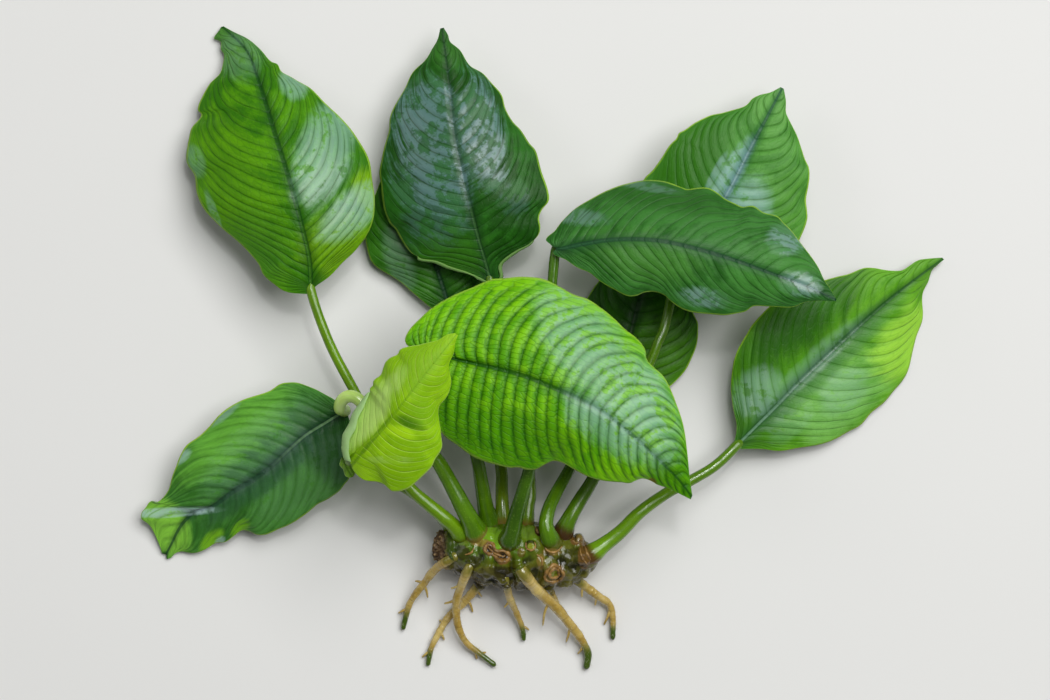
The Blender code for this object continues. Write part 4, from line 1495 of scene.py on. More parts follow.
    def carve(self, mesh: bpy.types.Mesh) -> None:
        """Move the points out and in for lumps, bumps and pits, and keep them above the floor."""
        count = len(mesh.vertices)
        points = np.empty(count * 3)
        normals = np.empty(count * 3)
        mesh.vertices.foreach_get("co", points)
        mesh.vertex_normals.foreach_get("vector", normals)
        points, normals = points.reshape(-1, 3), normals.reshape(-1, 3)
        lump, grain, cork = (self.field(points, size)
                             for size in (self.lump_size, self.grain_size, self.cork_size))
        low = eased(points[:, 1] - self.underside_lean * points[:, 2], *self.underside)
        push = self.lump_height * lump * (0.6 + low) + self.grain_height * grain * (0.5 + low)
        push += (self.cork_height * cork - self.cork_shrink) * (points[:, 0] < self.cork_end)
        for spot in self.marks:
            far = np.linalg.norm(points[:, :2] - seen_place(spot.x, spot.y), axis=1) / spot.radius
            upper = (normals[:, 2] > 0.0) * (points[:, 2] > self.mark_floor)
            push += spot.height * np.exp(-far ** 2 * self.mark_sharpness) * upper
        points = points + normals * push[:, None]
        points[:, 2] = np.maximum(points[:, 2], self.lowest)
        mesh.vertices.foreach_set("co", (points * MM).ravel())
        mesh.attributes.new("push", "FLOAT", "POINT").data.foreach_set("value", push / self.push_scale)
        mesh.update()


class Scars:
    """Dry sheath rims, scar edges and scales that lie on the rhizome."""

    loops = (
        ((-12.3, -43.6), (-11.6, -42.8), (-10.6, -43.1), (-10.2, -44.1), (-9.6, -44.6), (-8.3, -44.5),
         (-7.2, -45.2), (-7.1, -46.2), (-8.0, -46.9), (-9.3, -46.7), (-10.0, -45.9), (-10.8, -45.4),
         (-11.9, -45.0), (-12.4, -44.3), (-12.3, -43.6)),
        ((2.77, -47.5), (1.5, -48.9), (0.95, -50.6), (1.98, -51.4), (4.0, -51.2), (5.0, -49.9), (4.3, -48.6),
         (2.77, -47.5)),
        ((2.9, -48.4), (2.1, -49.3), (2.0, -50.3), (2.9, -50.6), (3.9, -50.1), (3.8, -49.0), (2.9, -48.4)))
    edges = (
        ((-11.7, -43.7), (-11.0, -44.5), (-9.8, -45.3), (-8.3, -45.8), (-7.9, -45.5)),
        ((8.6, -43.8), (9.0, -45.8), (10.3, -47.7)),
        ((9.7, -43.6), (10.3, -45.4), (11.3, -47.0)),
        ((0.8, -43.4), (1.3, -44.4), (2.5, -44.9), (3.7, -44.6), (4.7, -43.6)),
        ((-16.2, -42.0), (-14.8, -42.3), (-13.2, -41.6), (-12.3, -40.2)),
        ((-16.8, -45.5), (-15.5, -45.1), (-14.7, -43.9)),
        ((-3.3, -42.8), (-3.2, -43.9), (-2.0, -44.4), (-1.2, -43.6), (-1.4, -42.6)),
        ((7.0, -42.4), (8.0, -43.0), (9.3, -42.2)),
        ((-0.9, -45.3), (0.2, -46.3), (0.2, -47.9)),
        ((-1.2, -39.2), (-0.6, -40.6), (0.4, -40.2)))
    rope = 0.36
    edge_rope = 0.25
    edge_tip = 0.35
    step = 0.2
    ray_start = 17.0
    lowest_hit = 2.0
    unevenness = 0.3
    pace = 4.0

    def lie(self, route: Line, skin: BVHTree, radius: float) -> Path:
        """Lay a route on the rhizome.

        Args:
            route: its points as seen from above.
            skin: the rhizome's surface in metres.
            radius: the rope's radius.

        Returns:
            Real points on the surface and their radii.
        """
        flat = np.array(route)
        length = np.linalg.norm(np.diff(flat, axis=0), axis=1).sum()
        line = smooth(flat, max(8, int(length / self.step)))
        points = []
        for x, y in line:
            start = plan(np.array([[x, y, self.ray_start]]))[0] * MM
            hit = skin.ray_cast(Vector(start), Vector((0.0, 0.0, -1.0)))[0]
            if hit is not None and hit.z > self.lowest_hit * MM:
                points.append(np.array(hit) / MM)
        uneven = self.unevenness * waves(shares(len(points)), len(points), self.pace)
        return np.array(points), radius * (1 + uneven)

    def build(self, rhizome: bpy.types.Object, sweep: Sweep) -> None:
        """Lay every rim on the rhizome."""
        skin = BVHTree.FromObject(rhizome, bpy.context.evaluated_depsgraph_get())
        paths = [self.lie(route, skin, self.rope) for route in self.loops]
        for route in self.edges:
            points, radii = self.lie(route, skin, self.edge_rope)
            bulge = np.sin(np.pi * shares(len(points)))
            paths.append((points, radii * (self.edge_tip + (1 - self.edge_tip) * bulge)))
        stock = Stock(sides=10, lump=0.3, lump_size=0.6, ring=0.0, ring_pitch=1.0)
        mesh = sweep.mesh("old_sheaths", paths, stock, ScarFinish().material("old_sheaths"), 3.0)
        add_piece("old_sheaths", mesh)


class Roots:
    """Builds and dresses the roots with their rootlets and hairs."""

    shapes = (
        StrandShape("root_far_left", radius=1.15, seed=11, route=course(
            -172, -447, 84, -189, -456, 106, -210, -469, 98, -233, -485, 72, -257, -515, 44,
            -282, -548, 25, -293, -572, 16, -304, -618, 8)),
        StrandShape("root_left", radius=1.15, seed=12, route=course(
            -149, -464, 92, -157, -478, 116, -166, -498, 108, -176, -523, 84, -185, -552, 62,
            -186, -583, 47, -180, -616, 34, -163, -647, 22, -136, -669, 13, -99, -697, 8)),
        StrandShape("root_under_left", radius=1.1, seed=13, route=course(
            -134, -514, 34, -150, -535, 20, -174, -561, 13, -205, -592, 12, -224, -623, 11,
            -242, -660, 9, -249, -697, 7)),
        StrandShape("root_middle", radius=1.05, seed=14, route=course(
            -84, -488, 96, -80, -503, 116, -75, -523, 100, -69, -546, 70, -55, -578, 38, -42, -610, 18,
            -37, -642, 8)),
        StrandShape("root_thick", radius=1.5, seed=15, route=course(
            -50, -474, 112, -42, -489, 134, -29, -506, 124, -12, -526, 102, 8, -545, 82, 37, -572, 60,
            62, -603, 41, 86, -634, 26, 103, -670, 15, 99, -705, 9)),
        StrandShape("root_thin", radius=0.7, seed=16, route=course(
            18, -522, 32, 26, -538, 20, 36, -558, 10, 42, -574, 7)),
        StrandShape("root_right", radius=1.1, seed=17, route=course(
            76, -506, 60, 103, -526, 42, 130, -546, 29, 150, -561, 20, 158, -590, 13, 158, -640, 8)))
    rootlets = (
        (-264, -510, -277, -510), (-251, -521, -249, -548), (-297, -568, -315, -583),
        (-185, -508, -198, -524), (-191, -546, -213, -559), (-147, -669, -141, -684),
        (-130, -667, -121, -669), (-154, -559, -150, -581), (-132, -532, -130, -546),
        (-218, -598, -224, -598), (-216, -625, -213, -642), (-249, -664, -262, -680), (-73, -554, -81, -568),
        (-40, -609, -26, -620), (9, -561, 4, -609), (59, -612, 55, -647), (90, -649, 81, -673),
        (88, -524, 90, -546), (117, -550, 119, -565), (145, -572, 139, -609))
    rootlet_radius = 0.36
    rootlet_height = 3.0
    rootlet_fall = 0.55
    rootlet_lowest = 0.45
    rootlet_points = 24
    rootlet_sag = (0.12, 0.1, 0.25)
    rootlet_turn = 2.1
    rootlet_taper = 0.45
    rootlet_clearance = 0.1

    def lines(self) -> list[Path]:
        """The line and the radii of every root."""
        return [Strand(shape).root() for shape in self.shapes]

    def rootlet(self, row: tuple[int, ...], lines: list[Path], seed: int) -> Path:
        """A side root from inside the nearest root out to its end.

        Args:
            row: x and y of its start and of its end, in tenths of a millimetre.
            lines: the line and the radii of every root.
            seed: picks its bend.

        Returns:
            Its line and its radii.
        """
        x, y, end_x, end_y = (number / 10 for number in row)
        flat = plan(np.array([[x, y, self.rootlet_height], [end_x, end_y, self.rootlet_height]]))[:, :2]
        gaps = [np.linalg.norm(line[:, :2] - flat[0], axis=1) for line, _ in lines]
        best = min(range(len(gaps)), key=lambda number: gaps[number].min())
        near = lines[best][0][gaps[best].argmin()]
        reach = np.linalg.norm(flat[1] - near[:2])
        last = np.array([*flat[1], max(self.rootlet_lowest, near[2] - self.rootlet_fall * reach)])
        wide, deep, high = self.rootlet_sag
        turns = (wide * math.sin(seed * self.rootlet_turn), deep * math.cos(seed), high)
        bend = (near + last) / 2 + np.array(turns) * reach * 0.5
        points = smooth(np.array([near, bend, last]), self.rootlet_points)
        share = shares(self.rootlet_points)
        tip = np.sqrt(np.clip((1 - share) * 9, 0.02, 1.0))
        radii = self.rootlet_radius * (1 - self.rootlet_taper * share) * tip
        points[:, 2] = np.maximum(points[:, 2], radii + self.rootlet_clearance)
        return points, radii

    def build(self, lines: list[Path], sweep: Sweep, rhizome: Rhizome) -> None:
        """Sweep the roots and the rootlets and grow their hairs.

        Args:
            lines: every root's line and radii, from lines().
            sweep: what makes a tube of them.
            rhizome: the stem that they leave.
        """
        stock = Stock(sides=20, lump=0.2, lump_size=1.0, ring=0.03, ring_pitch=0.55)
        hair_skin = HairFinish().material("root_hair")
        hairs = Hairs()
        grown = bmesh.new()
        for shape, path in zip(self.shapes, lines):
            buried = float(travelled(path[0])[rhizome.leaving(path[0])])
            skin = RootFinish().material(shape.node + "_skin", buried)
            mesh = sweep.mesh(shape.node + "_skin", [path], stock, skin, float(shape.seed))
            add_piece(shape.node + "_skin", mesh, (shape.node,))
            grown.from_mesh(hairs.mesh(mesh, hair_skin, shape.seed))
        paths = [self.rootlet(row, lines, number) for number, row in enumerate(self.rootlets)]
        thin = Stock(sides=10, lump=0.08, lump_size=0.5, ring=0.02, ring_pitch=0.4)
        branch_skin = RootFinish(base_length=0.01, tip_start=2.0).material("rootlet_skin")
        branches = sweep.mesh("rootlets", paths, thin, branch_skin, 5.0)
        add_piece("rootlets", branches)
        for point in grown.verts:
            point.co.z = max(point.co.z, 0.0)
        mesh = closed(grown, "root_hairs")
        mesh.materials.append(hair_skin)
        add_piece("root_hairs", mesh)


TOP_LEFT = LeafShape(
    "blade_top_left", foot=(-51.0, 12.8), heading=108.2, length=61.2, veins=22, seed=1,
    left_flow=VeinFlow(0.3, 0.65, 0.5), right_flow=VeinFlow(0.3, 0.65, 0.45),
    rib=outline(0, -4, 100, -21, 200, -28, 400, -35, 600, -37, 800, -39, 900, -33, 1000, 0),
    left=outline(-10, 3, 0, 20, 20, 46, 45, 63, 100, 85, 150, 88, 200, 100, 250, 116, 300, 134, 350, 150,
        400, 162, 460, 165, 520, 161, 565, 169, 600, 166, 660, 146, 690, 133, 710, 110, 725, 103,
        745, 107, 780, 92, 820, 66, 840, 38, 865, 26, 900, 16, 925, 19, 950, 14, 970, 26, 990, 10,
        1000, 3),
    right=outline(0, -10, 10, -20, 25, -54, 55, -90, 80, -123, 120, -154, 180, -184, 240, -200, 300, -207,
        370, -214, 440, -208, 500, -199, 560, -182, 630, -161, 700, -142, 750, -115, 780, -94, 810, -90,
        830, -77, 880, -64, 930, -45, 970, -20, 1000, -3),
    rib_height=(14.0, 17.0, 18.0, 15.0, 10.0, 5.0, 0.7),
    left_height=(14.0, 13.0, 11.0, 8.0, 5.0, 3.0, 0.7),
    right_height=(14.0, 13.0, 12.0, 10.0, 8.0, 4.0, 0.7),
    finish=LeafFinish(
        face=shade(82, 146, 8), deep=shade(50, 112, 2), vein=shade(30, 86, 2), rib=shade(16, 66, 12),
        painted_sheen=shade(146, 188, 172), rib_line_and_glint=shade(60, 112, 24), vein_strength=0.55, valley=0.24, gloss=0.35,
        cell_strength=0.16,
        washes=(Zone(0.42, 9.0, 0.3, 8.0, shade(92, 152, 4), 0.6),
                Zone(0.2, 9.0, 0.14, 7.0, shade(66, 128, 30), 0.5),
                Zone(0.12, -9.0, 0.12, 8.0, shade(120, 170, 8), 0.7),
                Zone(0.28, -19.5, 0.08, 3.5, shade(130, 178, 6), 0.7),
                # painted shade of a fold between the two patches of sheen
                Zone(0.33, -12.0, 0.035, 11.0, shade(46, 112, 6), 0.8, lean=-0.008),
                Zone(0.03, 0.0, 0.06, 4.0, shade(50, 116, 2), 0.7),
                Zone(0.92, 0.0, 0.1, 5.0, shade(84, 134, 66), 0.6)),
        sheen_zones=(Zone(0.47, -13.5, 0.13, 9.0, lean=-0.012), Zone(0.22, -14.0, 0.07, 8.0, lean=-0.006),
               Zone(0.73, -11.2, 0.06, 3.0), Zone(0.57, 15.0, 0.06, 2.2, amount=0.5),
               Zone(0.36, 14.6, 0.1, 0.9, amount=0.6), Zone(0.88, -2.0, 0.09, 5.0, amount=0.3))))

TOP = LeafShape(
    "blade_top", foot=(-10.8, 14.7), heading=101.1, length=57.0, veins=21, slot=Slot.DARK, seed=2,
    rib=outline(0, 2, 100, 7, 200, 12, 450, 17, 600, 17, 800, 7, 1000, 0),
    left=outline(0, 9, 30, 35, 60, 62, 90, 90, 120, 115, 140, 145, 165, 163, 210, 177, 270, 188, 300, 198,
        350, 202, 400, 199, 450, 196, 500, 196, 550, 185, 600, 172, 650, 157, 700, 148, 750, 128,
        800, 105, 850, 83, 890, 50, 930, 30, 960, 15, 1000, 4),
    right=outline(0, -6, 10, -25, 55, -28, 80, -44, 100, -70, 115, -100, 140, -120, 170, -128, 210, -129,
        240, -140, 265, -156, 300, -159, 370, -156, 460, -152, 500, -140, 550, -127, 590, -113, 650, -103,
        700, -100, 750, -86, 800, -70, 840, -45, 900, -30, 940, -12, 970, -10, 1000, -4),
    rib_height=(10.0, 13.0, 15.0, 15.0, 13.0, 10.0, 7.0),
    left_height=(10.0, 8.5, 8.0, 8.0, 8.0, 8.0, 7.0),
    right_height=(10.0, 12.0, 13.0, 12.0, 10.0, 8.0, 7.0),
    left_roll=outline(0, 4, 80, 6, 200, 5, 280, 0, 1000, 0),
    right_roll=outline(0, 4, 100, 6, 200, 3, 260, 0, 1000, 0),
    finish=LeafFinish(
        face=shade(40, 100, 24), deep=shade(24, 74, 8), vein=shade(18, 56, 8), rib=shade(22, 60, 24),
        vein_strength=0.35, painted_sheen=shade(112, 148, 156), painted_sheen_amount=0.5, gloss=0.35,
        sheen_holes=0.5, sheen_ragged=1.0, sheen_softness=0.35, rib_line_and_glint=shade(70, 112, 60),
        washes=(Zone(0.12, 8.0, 0.1, 8.0, shade(60, 122, 24), 0.6),
                Zone(0.93, 0.0, 0.08, 4.0, shade(60, 116, 40), 0.5)),
        sheen_zones=(Zone(0.56, 7.0, 0.27, 10.0), Zone(0.58, -4.0, 0.24, 5.0),
               Zone(0.3, 9.0, 0.14, 7.0, amount=0.4), Zone(0.3, -8.0, 0.08, 4.0, amount=0.3))))

BEHIND_TOP = LeafShape(
    "blade_behind_top", foot=(-19.6, 8.6), heading=106.4, length=39.0, veins=15, slot=Slot.DARK, seed=3,
    rib=outline(0, 3, 300, 6, 700, 5, 1000, 0),
    left=outline(0, 9, 40, 40, 150, 68, 250, 97, 360, 134, 460, 141, 580, 133, 720, 100, 840, 60, 1000, 4),
    right=outline(0, -4, 30, -40, 100, -92, 250, -130, 400, -136, 600, -115, 800, -65, 1000, -4),
    rib_height=(3.0, 3.5, 4.0, 4.0, 3.5, 2.5, 1.2),
    left_height=(3.0, 3.0, 3.0, 3.0, 2.5, 2.0, 1.2),
    right_height=(3.0, 2.0, 1.5, 1.0, 0.7, 0.7, 1.0),
    finish=LeafFinish(
        face=shade(54, 112, 24), deep=shade(36, 92, 6), vein=shade(22, 64, 6), rib=shade(14, 52, 24),
        rib_line_and_glint=shade(24, 64, 34), sheen_zones=(Zone(0.35, 8.0, 0.2, 3.0, amount=0.3),)))

TOP_RIGHT = LeafShape(
    "blade_top_right", foot=(27.9, 11.4), heading=61.2, length=52.5, veins=18, seed=4,
    rib=outline(40, -2, 500, -5, 700, -2, 1000, 1),
    left=outline(40, 5, 50, 50, 120, 120, 220, 160, 370, 173, 440, 164, 500, 159, 560, 157, 600, 151,
        625, 152, 650, 144, 700, 132, 750, 112, 780, 93, 820, 72, 860, 53, 900, 47, 930, 36, 960, 19,
        1000, 5),
    right=outline(40, -10, 50, -50, 120, -125, 250, -173, 370, -189, 430, -193, 520, -192, 570, -187,
        600, -178, 640, -164, 690, -153, 750, -136, 780, -118, 820, -96, 860, -74, 900, -43, 920, -31,
        960, -20, 1000, -3),
    rib_height=(10.0, 11.5, 13.0, 13.0, 12.0, 11.0, 10.0),
    left_height=(10.0, 9.0, 10.0, 12.0, 12.0, 11.0, 10.0),
    right_height=(10.0, 9.0, 10.0, 11.0, 11.0, 10.5, 10.0),
    finish=LeafFinish(
        face=shade(84, 148, 56), deep=shade(60, 124, 36), vein=shade(40, 96, 22), rib=shade(38, 84, 56),
        rib_line_and_glint=shade(46, 92, 66), painted_sheen=shade(140, 176, 190), painted_sheen_amount=0.55, gloss=0.18,
        vein_strength=0.5, valley=0.22,
        washes=(Zone(0.93, 0.0, 0.12, 5.0, shade(98, 160, 70), 0.7),
                Zone(0.5, 10.0, 0.3, 6.5, shade(40, 102, 0), 0.9),
                Zone(0.45, -12.0, 0.25, 6.0, shade(84, 146, 46), 0.5)),
        sheen_zones=(Zone(0.48, 0.8, 0.27, 2.4, amount=0.85), Zone(0.43, -5.5, 0.17, 6.0, amount=0.75),
               Zone(0.56, 4.0, 0.09, 0.9, amount=0.5))))

UPPER_RIGHT = LeafShape(
    "blade_upper_right", foot=(3.3, 21.8), heading=-10.1, length=62.6, veins=21, slot=Slot.DARK, seed=5,
    rib=outline(0, 3, 30, 8, 85, 23, 177, 43, 270, 55, 362, 61, 454, 59, 547, 54, 639, 46, 731, 36,
        824, 26, 916, 14, 1000, 0),
    left=outline(-20, 9, -42, 20, -18, 43, 0, 66, 40, 98, 94, 124, 150, 147, 205, 168, 256, 182, 300, 187,
        343, 188, 400, 184, 417, 183, 454, 191, 490, 195, 528, 188, 556, 179, 593, 171, 620, 166,
        657, 171, 694, 162, 745, 161, 773, 149, 805, 135, 842, 113, 879, 90, 916, 64, 944, 40, 971, 23,
        1000, 3),
    right=outline(-10, -5, 0, -12, 39, -17, 85, -29, 130, -36, 168, -49, 205, -59, 270, -72, 307, -69,
        334, -60, 371, -54, 404, -56, 427, -64, 454, -73, 490, -80, 547, -82, 611, -78, 657, -69,
        694, -60, 720, -45, 777, -39, 850, -32, 897, -17, 944, -9, 1000, -3),
    rib_height=(26.0, 28.5, 30.0, 30.0, 29.0, 27.0, 25.0),
    left_height=(26.0, 22.0, 21.0, 22.0, 23.0, 24.0, 25.0),
    right_height=(26.0, 27.5, 27.0, 26.0, 26.0, 25.5, 25.0),
    finish=LeafFinish(
        face=shade(56, 116, 44), deep=shade(34, 90, 22), vein=shade(26, 72, 18), rib=shade(26, 64, 40),
        vein_strength=0.3, painted_sheen=shade(134, 168, 166), painted_sheen_amount=0.5, rib_line_and_glint=shade(40, 86, 50),
        sheen_holes=0.48, sheen_ragged=1.0, sheen_softness=0.75, gloss=0.6,
        washes=(Zone(0.3, 2.0, 0.2, 5.0, shade(78, 140, 50), 0.5),
                Zone(0.75, 4.0, 0.16, 5.0, shade(66, 132, 48), 0.6),
                Zone(0.3, 16.0, 0.25, 3.0, shade(34, 88, 20), 0.7)),
        sheen_zones=(Zone(0.79, 11.0, 0.06, 3.0), Zone(0.87, 2.0, 0.07, 2.6), Zone(0.54, -4.6, 0.08, 2.0),
               Zone(0.05, 8.0, 0.1, 1.8, amount=0.6, lean=0.012), Zone(0.27, 17.2, 0.12, 0.9, amount=0.4))))

BEHIND_RIGHT = LeafShape(
    "blade_behind_right", foot=(15.6, -10.1), heading=77.5, length=40.6, veins=14, slot=Slot.DARK, seed=6,
    rib=outline(0, 0, 200, -8, 560, -14, 800, -8, 1000, 0),
    left=outline(0, 7, 30, 40, 100, 80, 250, 113, 400, 109, 540, 89, 700, 60, 850, 30, 1000, 4),
    right=outline(0, -7, 20, -50, 80, -100, 150, -130, 250, -150, 370, -160, 470, -153, 530, -136,
        700, -98, 850, -50, 1000, -4),
    rib_height=(3.0, 3.5, 4.0, 4.0, 3.5, 2.5, 1.2),
    left_height=(3.0, 2.0, 1.5, 1.0, 0.7, 0.7, 1.0),
    right_height=(3.0, 2.5, 2.0, 2.0, 2.0, 1.5, 1.2),
    finish=LeafFinish(
        face=shade(42, 96, 4), deep=shade(26, 70, 2), vein=shade(20, 58, 4), rib=shade(16, 48, 14),
        rib_line_and_glint=shade(90, 124, 60), washes=(Zone(0.25, -9.0, 0.25, 7.0, shade(76, 138, 6), 0.6),)))

RIGHT = LeafShape(
    "blade_right", foot=(43.1, -21.6), heading=43.1, length=61.2, veins=17, seed=7,
    rib=outline(0, 3, 200, 6, 350, 11, 600, 11, 800, 6, 1005, -7),
    left=outline(0, 9, 50, 33, 80, 63, 100, 82, 130, 107, 170, 128, 210, 145, 250, 157, 300, 166,
        350, 174, 440, 177, 500, 170, 570, 156, 630, 140, 680, 124, 720, 110, 770, 98, 800, 82, 830, 59,
        860, 40, 880, 34, 930, 29, 960, 18, 1005, -4),
    right=outline(0, -5, 60, -40, 100, -70, 150, -90, 200, -110, 250, -127, 290, -138, 330, -144,
        380, -150, 440, -145, 500, -147, 550, -145, 600, -141, 650, -130, 700, -112, 740, -96, 790, -80,
        810, -69, 840, -46, 870, -31, 910, -22, 950, -9, 1005, -10),
    rib_height=(8.0, 7.5, 7.0, 6.0, 5.0, 3.5, 2.0),
    left_height=(8.0, 8.0, 9.0, 9.0, 7.0, 4.5, 2.0),
    right_height=(8.0, 5.0, 2.5, 1.0, 0.7, 0.9, 2.0),
    finish=LeafFinish(
        face=shade(104, 168, 40), deep=shade(78, 144, 18), vein=shade(48, 110, 14), rib=shade(36, 82, 36),
        painted_sheen=shade(140, 176, 166), rib_line_and_glint=shade(100, 140, 110), vein_strength=0.34,
        washes=(Zone(0.46, 11.0, 0.28, 6.5, shade(32, 88, 0), 0.95),
                Zone(0.1, 3.0, 0.12, 8.0, shade(40, 92, 16), 0.7),
                Zone(0.4, -8.0, 0.18, 6.0, shade(128, 188, 104), 0.6),
                Zone(0.72, -8.5, 0.16, 5.0, shade(152, 208, 64), 0.9),
                Zone(0.42, 0.0, 0.34, 3.0, shade(58, 108, 66), 0.6),
                Zone(0.95, 0.0, 0.08, 4.0, shade(96, 156, 40), 0.6)),
        sheen_zones=(Zone(0.19, 5.5, 0.1, 5.0, amount=0.9), Zone(0.42, -7.0, 0.1, 4.0, amount=0.5),
               Zone(0.4, 2.0, 0.22, 2.4, amount=0.5), Zone(0.2, -4.0, 0.1, 3.0, amount=0.4))))

LOWER_LEFT = LeafShape(
    "blade_lower_left", foot=(-42.7, -14.1), heading=-141.2, length=50.5, veins=16, slot=Slot.DARK, seed=8,
    rib=outline(0, -7, 100, -13, 200, -19, 300, -17, 400, -13, 500, -15, 600, -22, 700, -24, 750, -32,
        790, -40, 850, -38, 900, -30, 950, -18, 1000, -7),
    left=outline(0, 3, 30, 40, 100, 90, 170, 115, 200, 120, 240, 126, 300, 124, 350, 118, 400, 117,
        500, 111, 550, 104, 600, 96, 630, 84, 650, 67, 680, 55, 760, 54, 800, 43, 850, 38, 900, 28,
        940, 9, 970, 4, 990, 6, 1010, 2),
    right=outline(0, -18, 5, -40, 20, -60, 45, -90, 80, -120, 120, -135, 150, -141, 200, -143, 260, -154,
        320, -166, 380, -172, 440, -172, 500, -168, 570, -165, 630, -166, 680, -157, 720, -145, 770, -132,
        820, -115, 860, -109, 890, -110, 910, -120, 940, -116, 970, -112, 985, -102, 975, -80, 985, -50,
        1000, -25, 1010, -14),
    rib_height=(12.0, 11.5, 11.0, 9.0, 7.0, 4.0, 0.8),
    left_height=(12.0, 10.0, 8.0, 6.0, 4.0, 2.0, 0.8),
    right_height=(12.0, 10.0, 9.0, 8.0, 7.0, 4.0, 0.8),
    finish=LeafFinish(
        face=shade(68, 128, 48), deep=shade(50, 106, 32), vein=shade(34, 84, 28), rib=shade(26, 62, 38),
        vein_strength=0.15, vein_width=0.24, strips=2.6, painted_sheen=shade(176, 206, 206), painted_sheen_amount=0.6,
        rib_line_and_glint=shade(110, 150, 100),
        washes=(Zone(0.45, -12.0, 0.3, 5.0, shade(106, 176, 56), 0.75),
                Zone(0.4, 7.0, 0.25, 4.0, shade(78, 144, 50), 0.6),
                Zone(0.12, 3.0, 0.13, 9.0, shade(26, 68, 22), 0.8),
                Zone(0.45, -0.5, 0.32, 2.8, shade(44, 84, 56), 0.7),
                Zone(0.93, -6.0, 0.09, 6.5, shade(140, 206, 66), 0.85),
                Zone(0.8, 3.2, 0.06, 1.6, shade(132, 196, 24), 0.7),
                Zone(0.68, 5.0, 0.05, 1.4, shade(124, 188, 24), 0.7)),
        sheen_zones=(Zone(0.4, -6.0, 0.3, 6.0, amount=0.14), Zone(0.3, 6.0, 0.3, 5.0, amount=0.1),
               Zone(0.87, -7.4, 0.034, 6.0, lean=-0.0266), Zone(0.68, -15.2, 0.05, 1.2, amount=0.6),
               Zone(0.78, 4.4, 0.03, 0.8, amount=0.7), Zone(0.42, -16.6, 0.08, 1.0, amount=0.4))))

YOUNG = LeafShape(
    "blade_young", foot=(-41.6, -25.1), heading=50.9, length=36.6, veins=15, slot=Slot.YOUNG, seed=9,
    quilt=0.025, rib_depth=0.2, ripple=0.2,
    rib=outline(0, 8, 50, 9, 100, 7, 150, 4, 200, 0, 250, -4, 300, -6, 370, -5, 500, -3, 800, -1, 1000, 0),
    left=outline(-10, 16, 30, 36, 50, 41, 103, 53, 177, 58, 240, 65, 316, 67, 390, 69, 417, 73, 445, 71,
        473, 76, 520, 73, 565, 79, 600, 83, 640, 81, 680, 74, 717, 75, 768, 63, 820, 46, 900, 24, 960, 16,
        1000, 4),
    right=outline(-10, 0, -25, -10, -35, -24, -35, -42, -20, -55, 2, -67, 20, -82, 16, -96, 15, -107,
        36, -119, 66, -128, 100, -134, 150, -137, 220, -139, 288, -140, 334, -136, 380, -134, 417, -129,
        454, -116, 490, -104, 528, -89, 565, -77, 602, -70, 667, -69, 713, -65, 760, -57, 796, -43,
        833, -30, 900, -22, 960, -9, 1000, -4),
    rib_height=(33.0, 37.0, 40.0, 41.8, 41.8, 41.0, 39.0),
    left_height=(33.0, 34.0, 35.0, 37.0, 39.0, 40.0, 39.0),
    right_height=(33.0, 35.0, 36.0, 37.0, 38.0, 39.0, 39.0),
    left_roll=outline(0, 10, 80, 13, 200, 14, 320, 10, 400, 3, 460, 0, 1000, 0),
    finish=LeafFinish(
        face=shade(142, 192, 12), deep=shade(122, 172, 2), vein=shade(196, 226, 100), rib=shade(112, 160, 8),
        under=shade(150, 186, 120), margin=shade(168, 204, 90), rib_line_and_glint=shade(132, 176, 24), rough=0.5,
        vein_strength=0.4, fine_vein_strength=0.4, vein_width=0.07, rib_width=0.4, cell_strength=0.03,
        valley=0.0, rib_shadow=0.15, painted_sheen=shade(186, 214, 130), painted_sheen_amount=0.4, gloss=0.2,
        washes=(Zone(0.75, 3.0, 0.2, 4.0, shade(112, 160, 4), 0.6),
                # painted light: the left half near the foot is painted paler, as where it is lit
                Zone(0.28, 4.0, 0.26, 3.2, shade(178, 214, 112), 0.85),
                # the next three zones paint a fold across the right half: painted shadow in it, a darker
                # green beyond it and painted light on its near side
                Zone(0.41, -4.0, 0.036, 3.4, shade(62, 112, 0), 0.95, lean=-0.008),
                Zone(0.5, -5.0, 0.08, 3.4, shade(108, 160, 0), 0.6, lean=-0.008),
                Zone(0.33, -4.4, 0.035, 3.4, shade(164, 212, 20), 0.7, lean=-0.008),
                # painted shade in the crease along the rib
                Zone(0.2, -0.3, 0.24, 0.45, shade(84, 132, 4), 0.8),
                Zone(0.14, -9.0, 0.12, 4.5, shade(116, 164, 0), 0.6)),
        sheen_zones=(Zone(0.55, 4.0, 0.12, 1.8, amount=0.5), Zone(0.16, -6.0, 0.03, 4.0, amount=0.5, lean=-0.02))))

